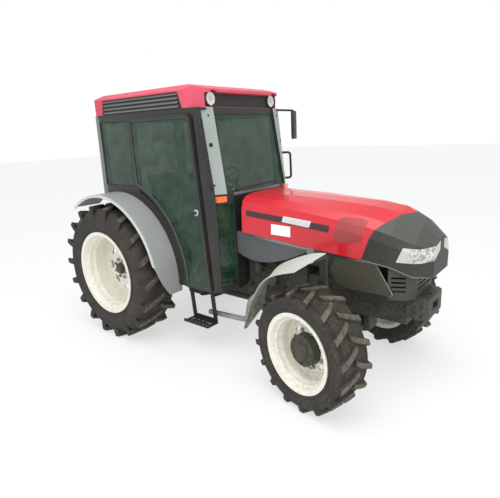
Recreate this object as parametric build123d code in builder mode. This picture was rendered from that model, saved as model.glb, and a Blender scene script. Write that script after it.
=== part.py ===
from build123d import *

import os
from math import cos, hypot, pi, radians, sin, sqrt

# Narrow orchard tractor with a cab, four-wheel drive, front fenders and a rear linkage.
# Millimetres. +X points forward, +Y to the tractor's left, +Z up.
# The origin is on the ground, under the middle of the tractor's length and width.

# Lengths along the tractor, measured from the rear axle
wheelbase = 2110
front_overhang = 610
front_reach = wheelbase + front_overhang
rear_reach = 935
rear_x = (rear_reach - front_reach) / 2


def ahead(distance):
    """X of a place that lies this far ahead of the rear axle."""
    return rear_x + distance


front_x = ahead(wheelbase)
nose_x = ahead(front_reach)

# Clearances
running_gap = 0.3
panel_gap = 5

# Wheels
rear_tip_radius = 616
rear_tyre_width = 366
rear_tyre_y = 593
rear_bead_radius = 356
rear_rim_width = 340
rear_lug_height = 34
rear_lug_count = 18
front_tip_radius = 410
front_tyre_width = 286
front_tyre_y = 609
front_bead_radius = 254
front_rim_width = 260
front_lug_height = 26
front_lug_count = 16
bead_inset = 12
rim_wall = 8
rim_drop = 34
flange_height = 22
rear_disc_y = 560
rear_hub_radius = 105
rear_hub_y = 582
front_disc_y = 620
front_hub_radius = 112
front_hub_y = 676
hub_spigot_radius = 45
hub_spigot_length = 50

# Steering
kingpin_y = 500
kingpin_radius = 20
rest_steer = 12
steer_arm = 110
steer_arm_inset = 30

# Cab
cab_half_width = 500
cab_wall = 36
sill_z = 562
roof_top_z = 2175
roof_height = 185
cab_top_z = roof_top_z - roof_height
post_foot_x = ahead(1130)
post_head_x = ahead(1035)
cab_back_x = ahead(-250)
screen_foot_x = ahead(1215)
screen_head_x = ahead(1115)
screen_foot_z = 1350
screen_foot_half = 380
screen_head_half = 370
firewall_half = 300
firewall_sheet = 36
corner_x = ahead(1165)
corner_head_x = ahead(1090)
corner_foot_half = 455
corner_head_half = 470
quarter_low_z = 600
quarter_top_z = 1270
deck_z = 870
deck_front_x = ahead(560)
floor_sheet = 20
window_margin = 60
roof_half_width = 512
roof_back_x = ahead(-228)
fascia_x = ahead(1100)
roof_lip_x = ahead(1135)

# Fenders
fender_sheet = 5
arch_radius = rear_tip_radius + 90
fender_outer_y = 730
house_inner_y = 380
front_fender_inner_y = 560
front_fender_outer_y = 745

# Doors
door_arc_radius = arch_radius + 114
door_sheet = 26
door_frame_width = 27
door_hinge_x = ahead(262)
door_top_z = cab_top_z - 40
glass_thickness = 6

# Hood
hood_rear_x = ahead(1300)
hood_wall = 8
hood_hinge_x = ahead(1330)
hood_hinge_z = 1306
hood_hinge_y = 185
hood_pin_radius = 8

# Driveline
housing_half_width = 150
housing_back_x = ahead(-190)
engine_back_x = ahead(1220)
engine_front_x = front_x - 320
engine_half_width = 160
bolster_half_width = 140
bolster_top_z = 740
trumpet_radius = 85
trumpet_end_y = 492
beam_end_y = 470

# Rear linkage
link_pivot_x = ahead(-60)
link_pivot_z = 430
link_pivot_y = 210
link_eye_radius = 14.2
link_eye_width = 45
arm_pivot_x = ahead(-190)
arm_pivot_z = 765
arm_length = 270
pto_radius = 17.45
pto_length = 78


def save(part, name):
    """Label a finished piece and write it as one file."""
    part.label = name
    export_step(part, f"parts/{name}.step")


def both_sides(part):
    """A piece on the left, and its mirror image on the right."""
    return Compound(children=[part, mirror(part, about=Plane.XZ)])


def wheel_axis(x, z):
    """Axis of a wheel, along the tractor's width."""
    return Axis((x, 0, z), (0, 1, 0))


def lug_geometry(tip_radius, width, skew):
    """Height of a lug's flat top over the axle, and where its corners lie round the tread."""
    reach = skew + width / 2
    flat_radius = sqrt(tip_radius**2 - reach**2)
    corners = [s * skew + w * width / 2 for s in (-1, 1) for w in (-1, 1)]
    return flat_radius, corners


def axle_height(tip_radius, width, skew, count, phase):
    """Height at which the lowest lug corner just touches the ground."""
    flat_radius, corners = lug_geometry(tip_radius, width, skew)
    depth = 0
    for row in (0, 0.5):
        for k in range(count):
            turn = radians(phase + 360 * (k + row) / count)
            depth = max([depth] + [flat_radius * cos(turn) + t * sin(turn) for t in corners])
    return depth


rear_half_tread = 176
rear_lug = dict(width=46, skew=52)
front_half_tread = 136
front_lug = dict(width=38, skew=38)
lug_phase = 1.5
rear_axle_z = axle_height(rear_tip_radius, **rear_lug, count=rear_lug_count, phase=lug_phase)
front_axle_z = axle_height(front_tip_radius, **front_lug, count=front_lug_count, phase=lug_phase)


def facet_ring(x, y, z, levels, count, turn):
    """Closed ring of flat faces about a wheel's axis, each as far out as its profile says."""
    rows = []
    for k in range(count):
        angle = radians(turn + 360 * k / count)
        outward = Vector(cos(angle), 0, sin(angle)) / cos(pi / count)
        rows.append([Vector(x, y + u, z) + outward * r for u, r in levels])
    faces = []
    for near, far in zip(rows, rows[1:] + rows[:1]):
        for i in range(len(levels)):
            faces.append(Face(Wire.make_polygon([near[i - 1], near[i], far[i], far[i - 1]])))
    return Solid(Shell(faces))


def bulge_radius(bead_radius, tip_radius):
    """Radius at which the tyre is widest."""
    return (bead_radius + tip_radius) / 2 + 20


def make_tyre(x, y, z, width, tip_radius, bead_radius, rim_width, lug_height, lug, half_tread, count):
    """Tyre on the left side: a ring of flat faces and two staggered rows of lugs."""
    half = width / 2
    bead_half = rim_width / 2 - bead_inset
    crown_radius = tip_radius - lug_height - 4
    widest = bulge_radius(bead_radius, tip_radius)
    flat_radius, corners = lug_geometry(tip_radius, **lug)
    side = [
        (bead_half, bead_radius + running_gap),
        (half, widest),
        (half - 12, (widest + crown_radius) / 2),
        (half_tread - 8, crown_radius),
    ]
    levels = side + [(-u, r) for u, r in reversed(side)]
    centre_overlap = 12
    with BuildPart() as tyre:
        add(facet_ring(x, y, z, levels, 2 * count, lug_phase - 90))
        for row in (-1, 1):
            for k in range(count):
                turn = radians(-90 + lug_phase + 360 * (k + (row + 1) / 4) / count)
                outward = Vector(cos(turn), 0, sin(turn))
                top = Vector(x, y, z) + outward * flat_radius
                with BuildSketch(Plane(origin=top, x_dir=(0, 1, 0), z_dir=outward)):
                    with BuildLine():
                        Polyline(
                            (-row * centre_overlap, corners[3]),
                            (-row * centre_overlap, corners[2]),
                            (row * half_tread, corners[0]),
                            (row * half_tread, corners[1]),
                            close=True,
                        )
                    make_face()
                extrude(amount=-(lug_height + 14))
    return tyre.part


def make_rim(x, y, z, rim_width, bead_radius, tyre_half, widest, disc_y, hub_radius, hub_y,
             axle_face_y, spigot_length, slot, slot_count):
    """Wheel rim with its slotted disc, hub and the spigot that runs in the axle's end."""
    bead_half = rim_width / 2 - bead_inset
    lean = (tyre_half - bead_half) / (widest - bead_radius)
    flange_foot = bead_half + running_gap
    flange_head = flange_foot + lean * flange_height
    well_radius = bead_radius - rim_drop
    well_half = flange_foot * 0.42
    disc_sheet = 12
    dish = 16
    edge_y = disc_y - dish
    outer = [
        (-flange_head, bead_radius + flange_height),
        (-flange_foot, bead_radius),
        (-well_half, well_radius),
        (well_half, well_radius),
        (flange_foot, bead_radius),
        (flange_head, bead_radius + flange_height),
    ]
    inner = [
        (flange_head + rim_wall, bead_radius + flange_height),
        (flange_foot + rim_wall, bead_radius - rim_wall),
        (well_half, well_radius - rim_wall),
    ]
    inner += [(-u, r) for u, r in reversed(inner)]
    with BuildPart() as rim:
        with BuildSketch(Plane(origin=(x, y, z), x_dir=(0, 1, 0), z_dir=(1, 0, 0))):
            with BuildLine():
                Polyline(*outer, *inner, close=True)
            make_face()
        with BuildSketch(Plane(origin=(x, 0, z), x_dir=(0, 1, 0), z_dir=(1, 0, 0))):
            with BuildLine():
                Polyline(
                    (axle_face_y + panel_gap - spigot_length, 0),
                    (axle_face_y + panel_gap - spigot_length, hub_spigot_radius),
                    (axle_face_y + panel_gap, hub_spigot_radius),
                    (axle_face_y + panel_gap, hub_radius),
                    (disc_y - disc_sheet, hub_radius),
                    (edge_y - disc_sheet, well_radius - 40),
                    (edge_y - disc_sheet, well_radius - 3),
                    (edge_y, well_radius - 3),
                    (edge_y, well_radius - 40),
                    (disc_y, hub_radius),
                    (hub_y, hub_radius - 6),
                    (hub_y, 0),
                    close=True,
                )
            make_face()
        revolve(axis=wheel_axis(x, z))
        slot_ring = (hub_radius + well_radius - 40) / 2
        with BuildSketch(Plane(origin=(x, disc_y, z), x_dir=(1, 0, 0), z_dir=(0, 1, 0))):
            with PolarLocations(slot_ring, slot_count):
                SlotOverall(slot[0], slot[1], rotation=90)
        extrude(amount=-60, mode=Mode.SUBTRACT)
    return rim.part

def steered(part, side):
    """Turn a piece that rides on a kingpin to the stored steering angle, to the right."""
    pin = (front_x, side * kingpin_y, 0)
    back = (-front_x, -side * kingpin_y, 0)
    return Location(pin) * Rotation(0, 0, -rest_steer) * Location(back) * part


def sided(part, side):
    """The piece itself on the left, its mirror image on the right."""
    return part if side > 0 else mirror(part, about=Plane.XZ)


os.makedirs("parts", exist_ok=True)
sides = ((1, "left"), (-1, "right"))
# Wheels
rear_tyre = make_tyre(rear_x, rear_tyre_y, rear_axle_z, rear_tyre_width, rear_tip_radius, rear_bead_radius,
                      rear_rim_width, rear_lug_height, rear_lug, rear_half_tread, rear_lug_count)
front_tyre = make_tyre(front_x, front_tyre_y, front_axle_z, front_tyre_width, front_tip_radius,
                       front_bead_radius, front_rim_width, front_lug_height, front_lug, front_half_tread,
                       front_lug_count)
rear_rim = make_rim(rear_x, rear_tyre_y, rear_axle_z, rear_rim_width, rear_bead_radius, rear_tyre_width / 2,
                    bulge_radius(rear_bead_radius, rear_tip_radius), rear_disc_y, rear_hub_radius, rear_hub_y,
                    trumpet_end_y, hub_spigot_length, (86, 42), 8)
knuckle_face = kingpin_y + 84
front_rim = make_rim(front_x, front_tyre_y, front_axle_z, front_rim_width, front_bead_radius,
                     front_tyre_width / 2, bulge_radius(front_bead_radius, front_tip_radius), front_disc_y,
                     front_hub_radius, front_hub_y, knuckle_face, 30, (54, 28), 8)
for side, name in sides:
    save(sided(rear_tyre, side), f"rear_tyre_{name}")
    save(sided(rear_rim, side), f"rear_rim_{name}")
    save(steered(sided(front_tyre, side), side), f"front_tyre_{name}")
    save(steered(sided(front_rim, side), side), f"front_rim_{name}")

# Knuckles: a fork round the end of the axle, the kingpin, a spindle for the hub and a steering arm
knuckle_top_z = front_axle_z + 85
knuckle_low_z = front_axle_z - 85
fork_sheet = 22
fork_inner = knuckle_top_z - fork_sheet - front_axle_z
boss_half_height = fork_inner - running_gap
arm_z = knuckle_low_z + 4
hub_spigot_depth = 28
with BuildPart() as knuckle:
    with BuildSketch(Plane(origin=(front_x, kingpin_y, knuckle_low_z), z_dir=(0, 0, 1))):
        Circle(kingpin_radius)
    extrude(amount=knuckle_top_z - knuckle_low_z)
    for low in (knuckle_low_z, knuckle_top_z - fork_sheet):
        with BuildSketch(Plane(origin=(front_x, kingpin_y, low), z_dir=(0, 0, 1))):
            Circle(44)
            with Locations((0, 30)):
                Rectangle(88, 60)
        extrude(amount=fork_sheet)
    with BuildSketch(Plane(origin=(front_x, kingpin_y + 50, front_axle_z), x_dir=(-1, 0, 0), z_dir=(0, 1, 0))):
        Circle(88)
    extrude(amount=knuckle_face - kingpin_y - 50)
    with BuildSketch(Plane(origin=(front_x, knuckle_face, front_axle_z), x_dir=(-1, 0, 0), z_dir=(0, 1, 0))):
        Circle(hub_spigot_radius + running_gap)
    extrude(amount=-hub_spigot_depth, mode=Mode.SUBTRACT)
    with BuildSketch(Plane(origin=(front_x, kingpin_y, arm_z), z_dir=(0, 0, 1))):
        with BuildLine():
            Polyline(
                (0, 84), (0, 40), (-steer_arm + 18, -steer_arm_inset - 6),
                (-steer_arm - 18, -steer_arm_inset - 6), (-steer_arm - 18, 10), (-90, 84), close=True)
        make_face()
    extrude(amount=-16)

for side, name in sides:
    save(steered(sided(knuckle.part, side), side), f"knuckle_{name}")

# Front fenders: each edge is a curve, given by its points from the wheel's hub
front_fender_outer = ((-536, -25), (-503, 81), (-422, 244), (-301, 415), (-86, 524), (11, 555))
front_fender_inner = ((-505, 150), (-466, 320), (-367, 453), (-173, 564), (14, 636), (105, 653))


def front_fender_form(low, high):
    """Left front fender's form between two heights over its underside."""
    edges = ((front_fender_inner_y, front_fender_inner), (front_fender_outer_y, front_fender_outer))
    with BuildPart() as form:
        for y, edge in edges:
            with BuildSketch(Plane.XZ.offset(-y)):
                with BuildLine():
                    ends = []
                    for height in (low, high):
                        points = []
                        for u, v in edge:
                            stretch = 1 + height / hypot(u, v)
                            points.append((front_x + u * stretch, front_axle_z + v * stretch))
                        curve = Spline(*points)
                        ends.append((curve @ 0, curve @ 1))
                    Line(ends[0][0], ends[1][0])
                    Line(ends[0][1], ends[1][1])
                make_face()
        loft(ruled=True)
        with BuildSketch(Plane.XY):
            with BuildLine():
                Polyline(
                    (front_x - 405, front_fender_outer_y), (front_x - 570, front_fender_outer_y - 34.8),
                    (front_x - 570, front_fender_outer_y + 20), (front_x - 405, front_fender_outer_y + 20),
                    close=True)
            make_face()
        extrude(amount=front_tip_radius, mode=Mode.SUBTRACT)
    return form.part


bracket_width = 60
with BuildPart() as fender_bracket:
    with BuildSketch(Plane.YZ.offset(front_x - bracket_width)):
        fender_under = front_axle_z + 606
        with BuildLine():
            Polyline(
                (430, knuckle_top_z), (kingpin_y + 20, knuckle_top_z), (kingpin_y + 20, knuckle_top_z + 14),
                (444, knuckle_top_z + 14), (444, fender_under - 30), (600, fender_under - 30),
                (600, fender_under + 60), (front_fender_inner_y, fender_under + 60), (430, fender_under - 16),
                close=True)
        make_face()
    extrude(amount=bracket_width)
    add(front_fender_form(fender_sheet / 2, 120), mode=Mode.SUBTRACT)
bracket = fender_bracket.part.solids().sort_by(SortBy.VOLUME)[-1]

for side, name in sides:
    fender = front_fender_form(0, fender_sheet) + bracket
    save(steered(sided(fender, side), side), f"front_fender_{name}")

# Transmission with the rear axle's trumpets and the power take-off shaft
with BuildPart() as transmission:
    with BuildSketch(Plane.XZ.offset(-housing_half_width)):
        with BuildLine():
            Polyline(
                (housing_back_x, 430), (ahead(190), 430), (ahead(420), 450), (ahead(420), 330),
                (deck_front_x, 330),
                (deck_front_x, 450), (engine_back_x, 450), (engine_back_x, 780), (deck_front_x, 780),
                (ahead(480), 840), (housing_back_x, 840), close=True)
        make_face()
    extrude(amount=2 * housing_half_width)
    with BuildSketch(Plane.XZ.offset(-trumpet_end_y)):
        with Locations((rear_x, rear_axle_z)):
            Circle(trumpet_radius)
    extrude(amount=2 * trumpet_end_y)
    with BuildSketch(Plane.XZ.offset(-trumpet_end_y)):
        with Locations((rear_x, rear_axle_z)):
            Circle(hub_spigot_radius + running_gap)
    extrude(amount=hub_spigot_length, mode=Mode.SUBTRACT)
    with BuildSketch(Plane.XZ.offset(trumpet_end_y)):
        with Locations((rear_x, rear_axle_z)):
            Circle(hub_spigot_radius + running_gap)
    extrude(amount=-hub_spigot_length, mode=Mode.SUBTRACT)
    with BuildSketch(Plane.YZ.offset(housing_back_x)):
        with Locations((0, 560)):
            Circle(pto_radius)
    extrude(amount=-pto_length)
    with BuildSketch(Plane.XY.offset(rear_axle_z)):
        with Locations((rear_x, 300), (rear_x, -300)):
            Circle(34)
    extrude(amount=deck_z - rear_axle_z)
    with BuildSketch(Plane.XY.offset(780)):
        with Locations((ahead(950), 0)):
            Rectangle(120, 140)
    extrude(amount=20)
save(transmission.part, "transmission")

# Engine: one plain block at its real place
with BuildPart() as engine:
    with BuildSketch(Plane.YZ.offset(engine_back_x)):
        with BuildLine():
            Polyline(
                (-engine_half_width, 480), (engine_half_width, 480), (engine_half_width, 930), (120, 1160),
                (-120, 1160), (-engine_half_width, 930), close=True)
        make_face()
    extrude(amount=engine_front_x - engine_back_x)
save(engine.part, "engine")

# Front support: the bolster that carries the axle, the radiator and the tow block
bolster_low_z = front_axle_z + 100
bolster_front_x = nose_x - 160
trunnion_radius = 36
tow_front_x = nose_x - 20
tow_low_z = 570
tow_top_z = 710
tow_mouth = 60
tow_pin_x = nose_x - 60
with BuildPart() as front_support:
    with BuildSketch(Plane.XZ.offset(-bolster_half_width)):
        with BuildLine():
            Polyline(
                (engine_front_x, bolster_low_z), (bolster_front_x, bolster_low_z),
                (bolster_front_x, bolster_top_z), (engine_front_x, bolster_top_z), close=True)
        make_face()
    extrude(amount=2 * bolster_half_width)
    for centre in (front_x - 192, front_x + 130):
        with BuildSketch(Plane.YZ.offset(centre - 22)):
            with BuildLine():
                Polyline(
                    (-60, front_axle_z - 50), (60, front_axle_z - 50), (90, bolster_low_z + 20),
                    (-90, bolster_low_z + 20), close=True)
            make_face()
        extrude(amount=44)
    with BuildSketch(Plane.YZ.offset(front_x - 220)):
        with Locations((0, front_axle_z)):
            Circle(trunnion_radius + running_gap)
    extrude(amount=400, mode=Mode.SUBTRACT)
    with BuildSketch(Plane.XY.offset(tow_low_z)):
        with BuildLine():
            Polyline(
                (bolster_front_x, -160), (tow_front_x - 30, -160), (tow_front_x, -130), (tow_front_x, 130),
                (tow_front_x - 30, 160), (bolster_front_x, 160), close=True)
        make_face()
    extrude(amount=tow_top_z - tow_low_z)
    with BuildSketch(Plane.YZ.offset(tow_front_x - 80)):
        with Locations((0, (tow_low_z + tow_top_z) / 2)):
            Rectangle(110, tow_mouth)
    extrude(amount=100, mode=Mode.SUBTRACT)
    with BuildSketch(Plane.XY.offset(tow_low_z - 10)):
        with Locations((tow_pin_x, 0)):
            Circle(15)
    extrude(amount=tow_top_z - tow_low_z + 20, mode=Mode.SUBTRACT)
save(front_support.part, "front_support")

# Front axle beam, carried on its trunnions, with the steering cylinder's body on its back
rod_x = front_x - steer_arm * cos(radians(rest_steer))
rod_radius = 11
rod_z = arm_z + running_gap + rod_radius + 2
cylinder_radius = 26
cylinder_half_length = 190
shaft_y = -110
with BuildPart() as front_axle:
    with BuildSketch(Plane.XZ.offset(-beam_end_y)):
        with Locations((front_x, front_axle_z)):
            Rectangle(96, 104)
    extrude(amount=2 * beam_end_y)
    with BuildSketch(Plane.YZ.offset(front_x - 214)):
        with Locations((0, front_axle_z)):
            Circle(trunnion_radius)
    extrude(amount=366)
    with BuildSketch(Plane.YZ.offset(front_x - 80)):
        with Locations((shaft_y, front_axle_z)):
            Circle(96)
    extrude(amount=170)
    with BuildSketch(Plane.XZ.offset(-cylinder_half_length)):
        with Locations((rod_x, rod_z)):
            Circle(cylinder_radius)
    extrude(amount=2 * cylinder_half_length)
    for y in (-170, 170):
        with BuildSketch(Plane.XZ.offset(y - 20)):
            with Locations(((rod_x + front_x - 40) / 2, rod_z + 18)):
                Rectangle(front_x - 40 - rod_x, 40)
        extrude(amount=40)
    with BuildSketch(Plane.XZ.offset(-200)):
        with Locations((rod_x, rod_z)):
            Circle(rod_radius + running_gap)
    extrude(amount=400, mode=Mode.SUBTRACT)
    for side in (-1, 1):
        boss_foot = (front_x, side * kingpin_y, front_axle_z - boss_half_height)
        with BuildSketch(Plane(origin=boss_foot, z_dir=(0, 0, 1))):
            Circle(40)
            with Locations((0, -side * 30)):
                Rectangle(80, 60)
        extrude(amount=2 * boss_half_height)
        with BuildSketch(Plane(origin=(front_x, side * kingpin_y, front_axle_z - 100), z_dir=(0, 0, 1))):
            Circle(kingpin_radius + running_gap)
        extrude(amount=200, mode=Mode.SUBTRACT)
save(front_axle.part, "front_axle")

# Floor of the cab: a trough each side of the transmission, a riser and the deck under the seat
hump_half = housing_half_width + 14
with BuildPart() as cab_floor:
    with BuildSketch(Plane.YZ.offset(deck_front_x)):
        with BuildLine():
            Polyline(
                (-462, sill_z), (-hump_half, sill_z), (-hump_half, 800), (hump_half, 800), (hump_half, sill_z),
                (462, sill_z), (462, sill_z + floor_sheet), (hump_half + floor_sheet, sill_z + floor_sheet),
                (hump_half + floor_sheet, 820), (-hump_half - floor_sheet, 820),
                (-hump_half - floor_sheet, sill_z + floor_sheet), (-462, sill_z + floor_sheet), close=True)
        make_face()
    extrude(amount=screen_foot_x - firewall_sheet - deck_front_x)
    with BuildSketch(Plane.XZ.offset(-house_inner_y)):
        with BuildLine():
            Polyline(
                (cab_back_x, deck_z), (deck_front_x, deck_z), (deck_front_x, sill_z),
                (deck_front_x + floor_sheet, sill_z), (deck_front_x + floor_sheet, deck_z + floor_sheet),
                (cab_back_x, deck_z + floor_sheet), close=True)
        make_face()
    extrude(amount=2 * house_inner_y)
    with BuildSketch(Plane.YZ.offset(ahead(540))):
        with Locations((0, 690)):
            Rectangle(2 * hump_half, 300)
    extrude(amount=60, mode=Mode.SUBTRACT)
    with BuildSketch(Plane.XZ.offset(-480)):
        with Locations((rear_x, rear_axle_z)):
            Circle(arch_radius + 1)
    extrude(amount=480 - house_inner_y, mode=Mode.SUBTRACT)
    with BuildSketch(Plane.XZ.offset(480)):
        with Locations((rear_x, rear_axle_z)):
            Circle(arch_radius + 1)
    extrude(amount=-(480 - house_inner_y), mode=Mode.SUBTRACT)

# Wheel houses inside the cab, over the rear wheels
with BuildPart() as wheel_house:
    with BuildSketch(Plane.XZ.offset(-house_inner_y)):
        with Locations((rear_x, rear_axle_z)):
            Circle(arch_radius)
        with BuildLine():
            Polyline(
                (ahead(-900), 0), (ahead(900), 0), (ahead(900), sill_z), (deck_front_x, sill_z),
                (deck_front_x, deck_z),
                (cab_back_x, deck_z), (cab_back_x, 1600), (ahead(-900), 1600), close=True)
        make_face(mode=Mode.SUBTRACT)
    extrude(amount=-(462 - house_inner_y))
    with BuildSketch(Plane.XZ.offset(-(house_inner_y + 8))):
        with Locations((rear_x, rear_axle_z)):
            Circle(arch_radius - 10)
    extrude(amount=-100, mode=Mode.SUBTRACT)
    split(bisect_by=Plane.XY.offset(sill_z), keep=Keep.TOP)
save(both_sides(wheel_house.part), "wheel_houses")


def arc_point(radius, z):
    """The point of an arc about the rear axle at a height, ahead of the axle."""
    return rear_x + sqrt(radius**2 - (z - rear_axle_z)**2), z


# Side frames of the cab, with the door opening and the window behind it
window_arc_radius = arch_radius + 74
with BuildPart() as cab_side:
    with BuildSketch(Plane.XZ.offset(-(cab_half_width - cab_wall))):
        with BuildLine():
            Polyline(
                (cab_back_x, 1250), (cab_back_x + 20, cab_top_z), (post_head_x, cab_top_z),
                (post_foot_x, sill_z), (ahead(600), sill_z), (ahead(0), 1250), close=True)
        make_face()
        with Locations((rear_x, rear_axle_z)):
            Circle(arch_radius, mode=Mode.SUBTRACT)
        with BuildLine():
            low_front = arc_point(window_arc_radius, sill_z + 30)
            high_rear = (ahead(300), rear_axle_z + sqrt(window_arc_radius**2 - 300**2))
            RadiusArc(high_rear, low_front, window_arc_radius)
            Polyline(low_front, (post_foot_x - 42, sill_z + 30), (post_head_x - 42, cab_top_z - window_margin),
                     (ahead(300), cab_top_z - window_margin), high_rear)
        make_face(mode=Mode.SUBTRACT)
        with BuildLine():
            Polyline(
                (cab_back_x + 55, 1380), (ahead(222), 1380), (ahead(236), cab_top_z - window_margin),
                (cab_back_x + 68, cab_top_z - window_margin), close=True)
        make_face(mode=Mode.SUBTRACT)
    extrude(amount=-cab_wall)


def post_x(z):
    """Front edge of the side frame at a height."""
    return post_foot_x + (post_head_x - post_foot_x) * (z - sill_z) / (cab_top_z - sill_z)


def corner_rail(z):
    """Plan of the rails under and over the quarter window."""
    return [
        (screen_foot_x, firewall_half), (corner_x, corner_foot_half), (post_x(z), cab_half_width),
        (post_x(z), cab_half_width - cab_wall), (corner_x - 40, corner_foot_half - 30),
        (screen_foot_x - firewall_sheet, firewall_half)]


def corner_leg(z):
    """Plan of the slim post beside the quarter window."""
    return [
        (corner_x, corner_foot_half), (post_x(z), cab_half_width), (post_x(z), cab_half_width - cab_wall),
        (corner_x - 20, corner_foot_half - 23)]


corner_foot = (screen_foot_z, screen_foot_x, screen_foot_half, corner_x, corner_foot_half)
corner_head = (cab_top_z, screen_head_x, screen_head_half, corner_head_x, corner_head_half)


def corner_head_plan(z, x_screen, half_screen, x_corner, half_corner):
    """Plan of the post beside the windscreen: screen edge, chamfer, then the door's edge."""
    return [
        (x_screen, half_screen), (x_corner, half_corner), (post_x(z), cab_half_width),
        (post_x(z), cab_half_width - cab_wall), (x_corner - 40, half_corner - 30), (x_screen - 36, half_screen)]


# Front corner posts, each with the rails round its quarter window
corner_stages = (
    ((sill_z, corner_rail(sill_z)), (quarter_low_z, corner_rail(quarter_low_z))),
    ((quarter_low_z, corner_leg(quarter_low_z)), (quarter_top_z, corner_leg(quarter_top_z))),
    ((quarter_top_z, corner_rail(quarter_top_z)), (screen_foot_z, corner_rail(screen_foot_z))),
    ((screen_foot_z, corner_head_plan(*corner_foot)), (cab_top_z, corner_head_plan(*corner_head))),
)
with BuildPart() as corner_post:
    for stage in corner_stages:
        for z, plan in stage:
            with BuildSketch(Plane.XY.offset(z)):
                with BuildLine():
                    Polyline(*plan, close=True)
                make_face()
        loft(ruled=True)
save(both_sides(corner_post.part), "corner_posts")
with BuildPart() as trimmed_floor:
    add(cab_floor.part)
    add(corner_post.part, mode=Mode.SUBTRACT)
    add(mirror(corner_post.part, about=Plane.XZ), mode=Mode.SUBTRACT)
save(trimmed_floor.part.solids().sort_by(SortBy.VOLUME)[-1], "cab_floor")

# Front wall of the cab: firewall behind the hood, and the rail over the windscreen
hinge_foot_z = 1215
with BuildPart() as cab_front:
    with BuildSketch(Plane.YZ.offset(screen_foot_x - firewall_sheet)):
        with BuildLine():
            Polyline(
                (-firewall_half, sill_z), (-hump_half - floor_sheet - 1, sill_z),
                (-hump_half - floor_sheet - 1, 822), (hump_half + floor_sheet + 1, 822),
                (hump_half + floor_sheet + 1, sill_z), (firewall_half, sill_z),
                (firewall_half, screen_foot_z), (-firewall_half, screen_foot_z), close=True)
        make_face()
    extrude(amount=firewall_sheet)
    with BuildSketch(Plane.YZ.offset(screen_head_x - 36)):
        with Locations((0, cab_top_z - 25)):
            Rectangle(2 * screen_head_half - 2, 50)
    extrude(amount=30)
    for y in (-hood_hinge_y, hood_hinge_y):
        with BuildSketch(Plane.XZ.offset(-y - 5)):
            with BuildLine():
                Polyline(
                    (screen_foot_x - 2, hinge_foot_z), (hood_hinge_x + 11, hinge_foot_z),
                    (hood_hinge_x + 11, hood_hinge_z), (hood_hinge_x - 11, hood_hinge_z),
                    (hood_hinge_x - 11, hinge_foot_z + 27), (screen_foot_x - 2, hinge_foot_z + 27), close=True)
            make_face()
            with Locations((hood_hinge_x, hood_hinge_z)):
                Circle(11)
        extrude(amount=10)
        with BuildSketch(Plane.XZ.offset(-y - 19)):
            with Locations((hood_hinge_x, hood_hinge_z)):
                Circle(hood_pin_radius)
        extrude(amount=38)
save(cab_front.part, "cab_front")

# Rear wall of the cab, with the rear window's opening
rear_wall = 32
rear_window_low_z = 1330
rear_window_z = (rear_window_low_z + cab_top_z - window_margin) / 2
rear_window_height = cab_top_z - window_margin - rear_window_low_z
house_top_z = rear_axle_z + sqrt(arch_radius**2 - (250 - rear_wall)**2)
inner_half = cab_half_width - cab_wall - 1
with BuildPart() as cab_rear:
    with BuildSketch(Plane.YZ.offset(cab_back_x)):
        with BuildLine():
            Polyline(
                (-house_inner_y + 1, deck_z + floor_sheet), (house_inner_y - 1, deck_z + floor_sheet),
                (house_inner_y - 1, house_top_z + 2), (inner_half, house_top_z + 2), (inner_half, cab_top_z),
                (-inner_half, cab_top_z), (-inner_half, house_top_z + 2), (1 - house_inner_y, house_top_z + 2),
                close=True)
        make_face()
        with Locations((0, rear_window_z)):
            Rectangle(2 * inner_half - 90, rear_window_height, mode=Mode.SUBTRACT)
    extrude(amount=rear_wall)
save(cab_rear.part, "cab_rear")

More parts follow.
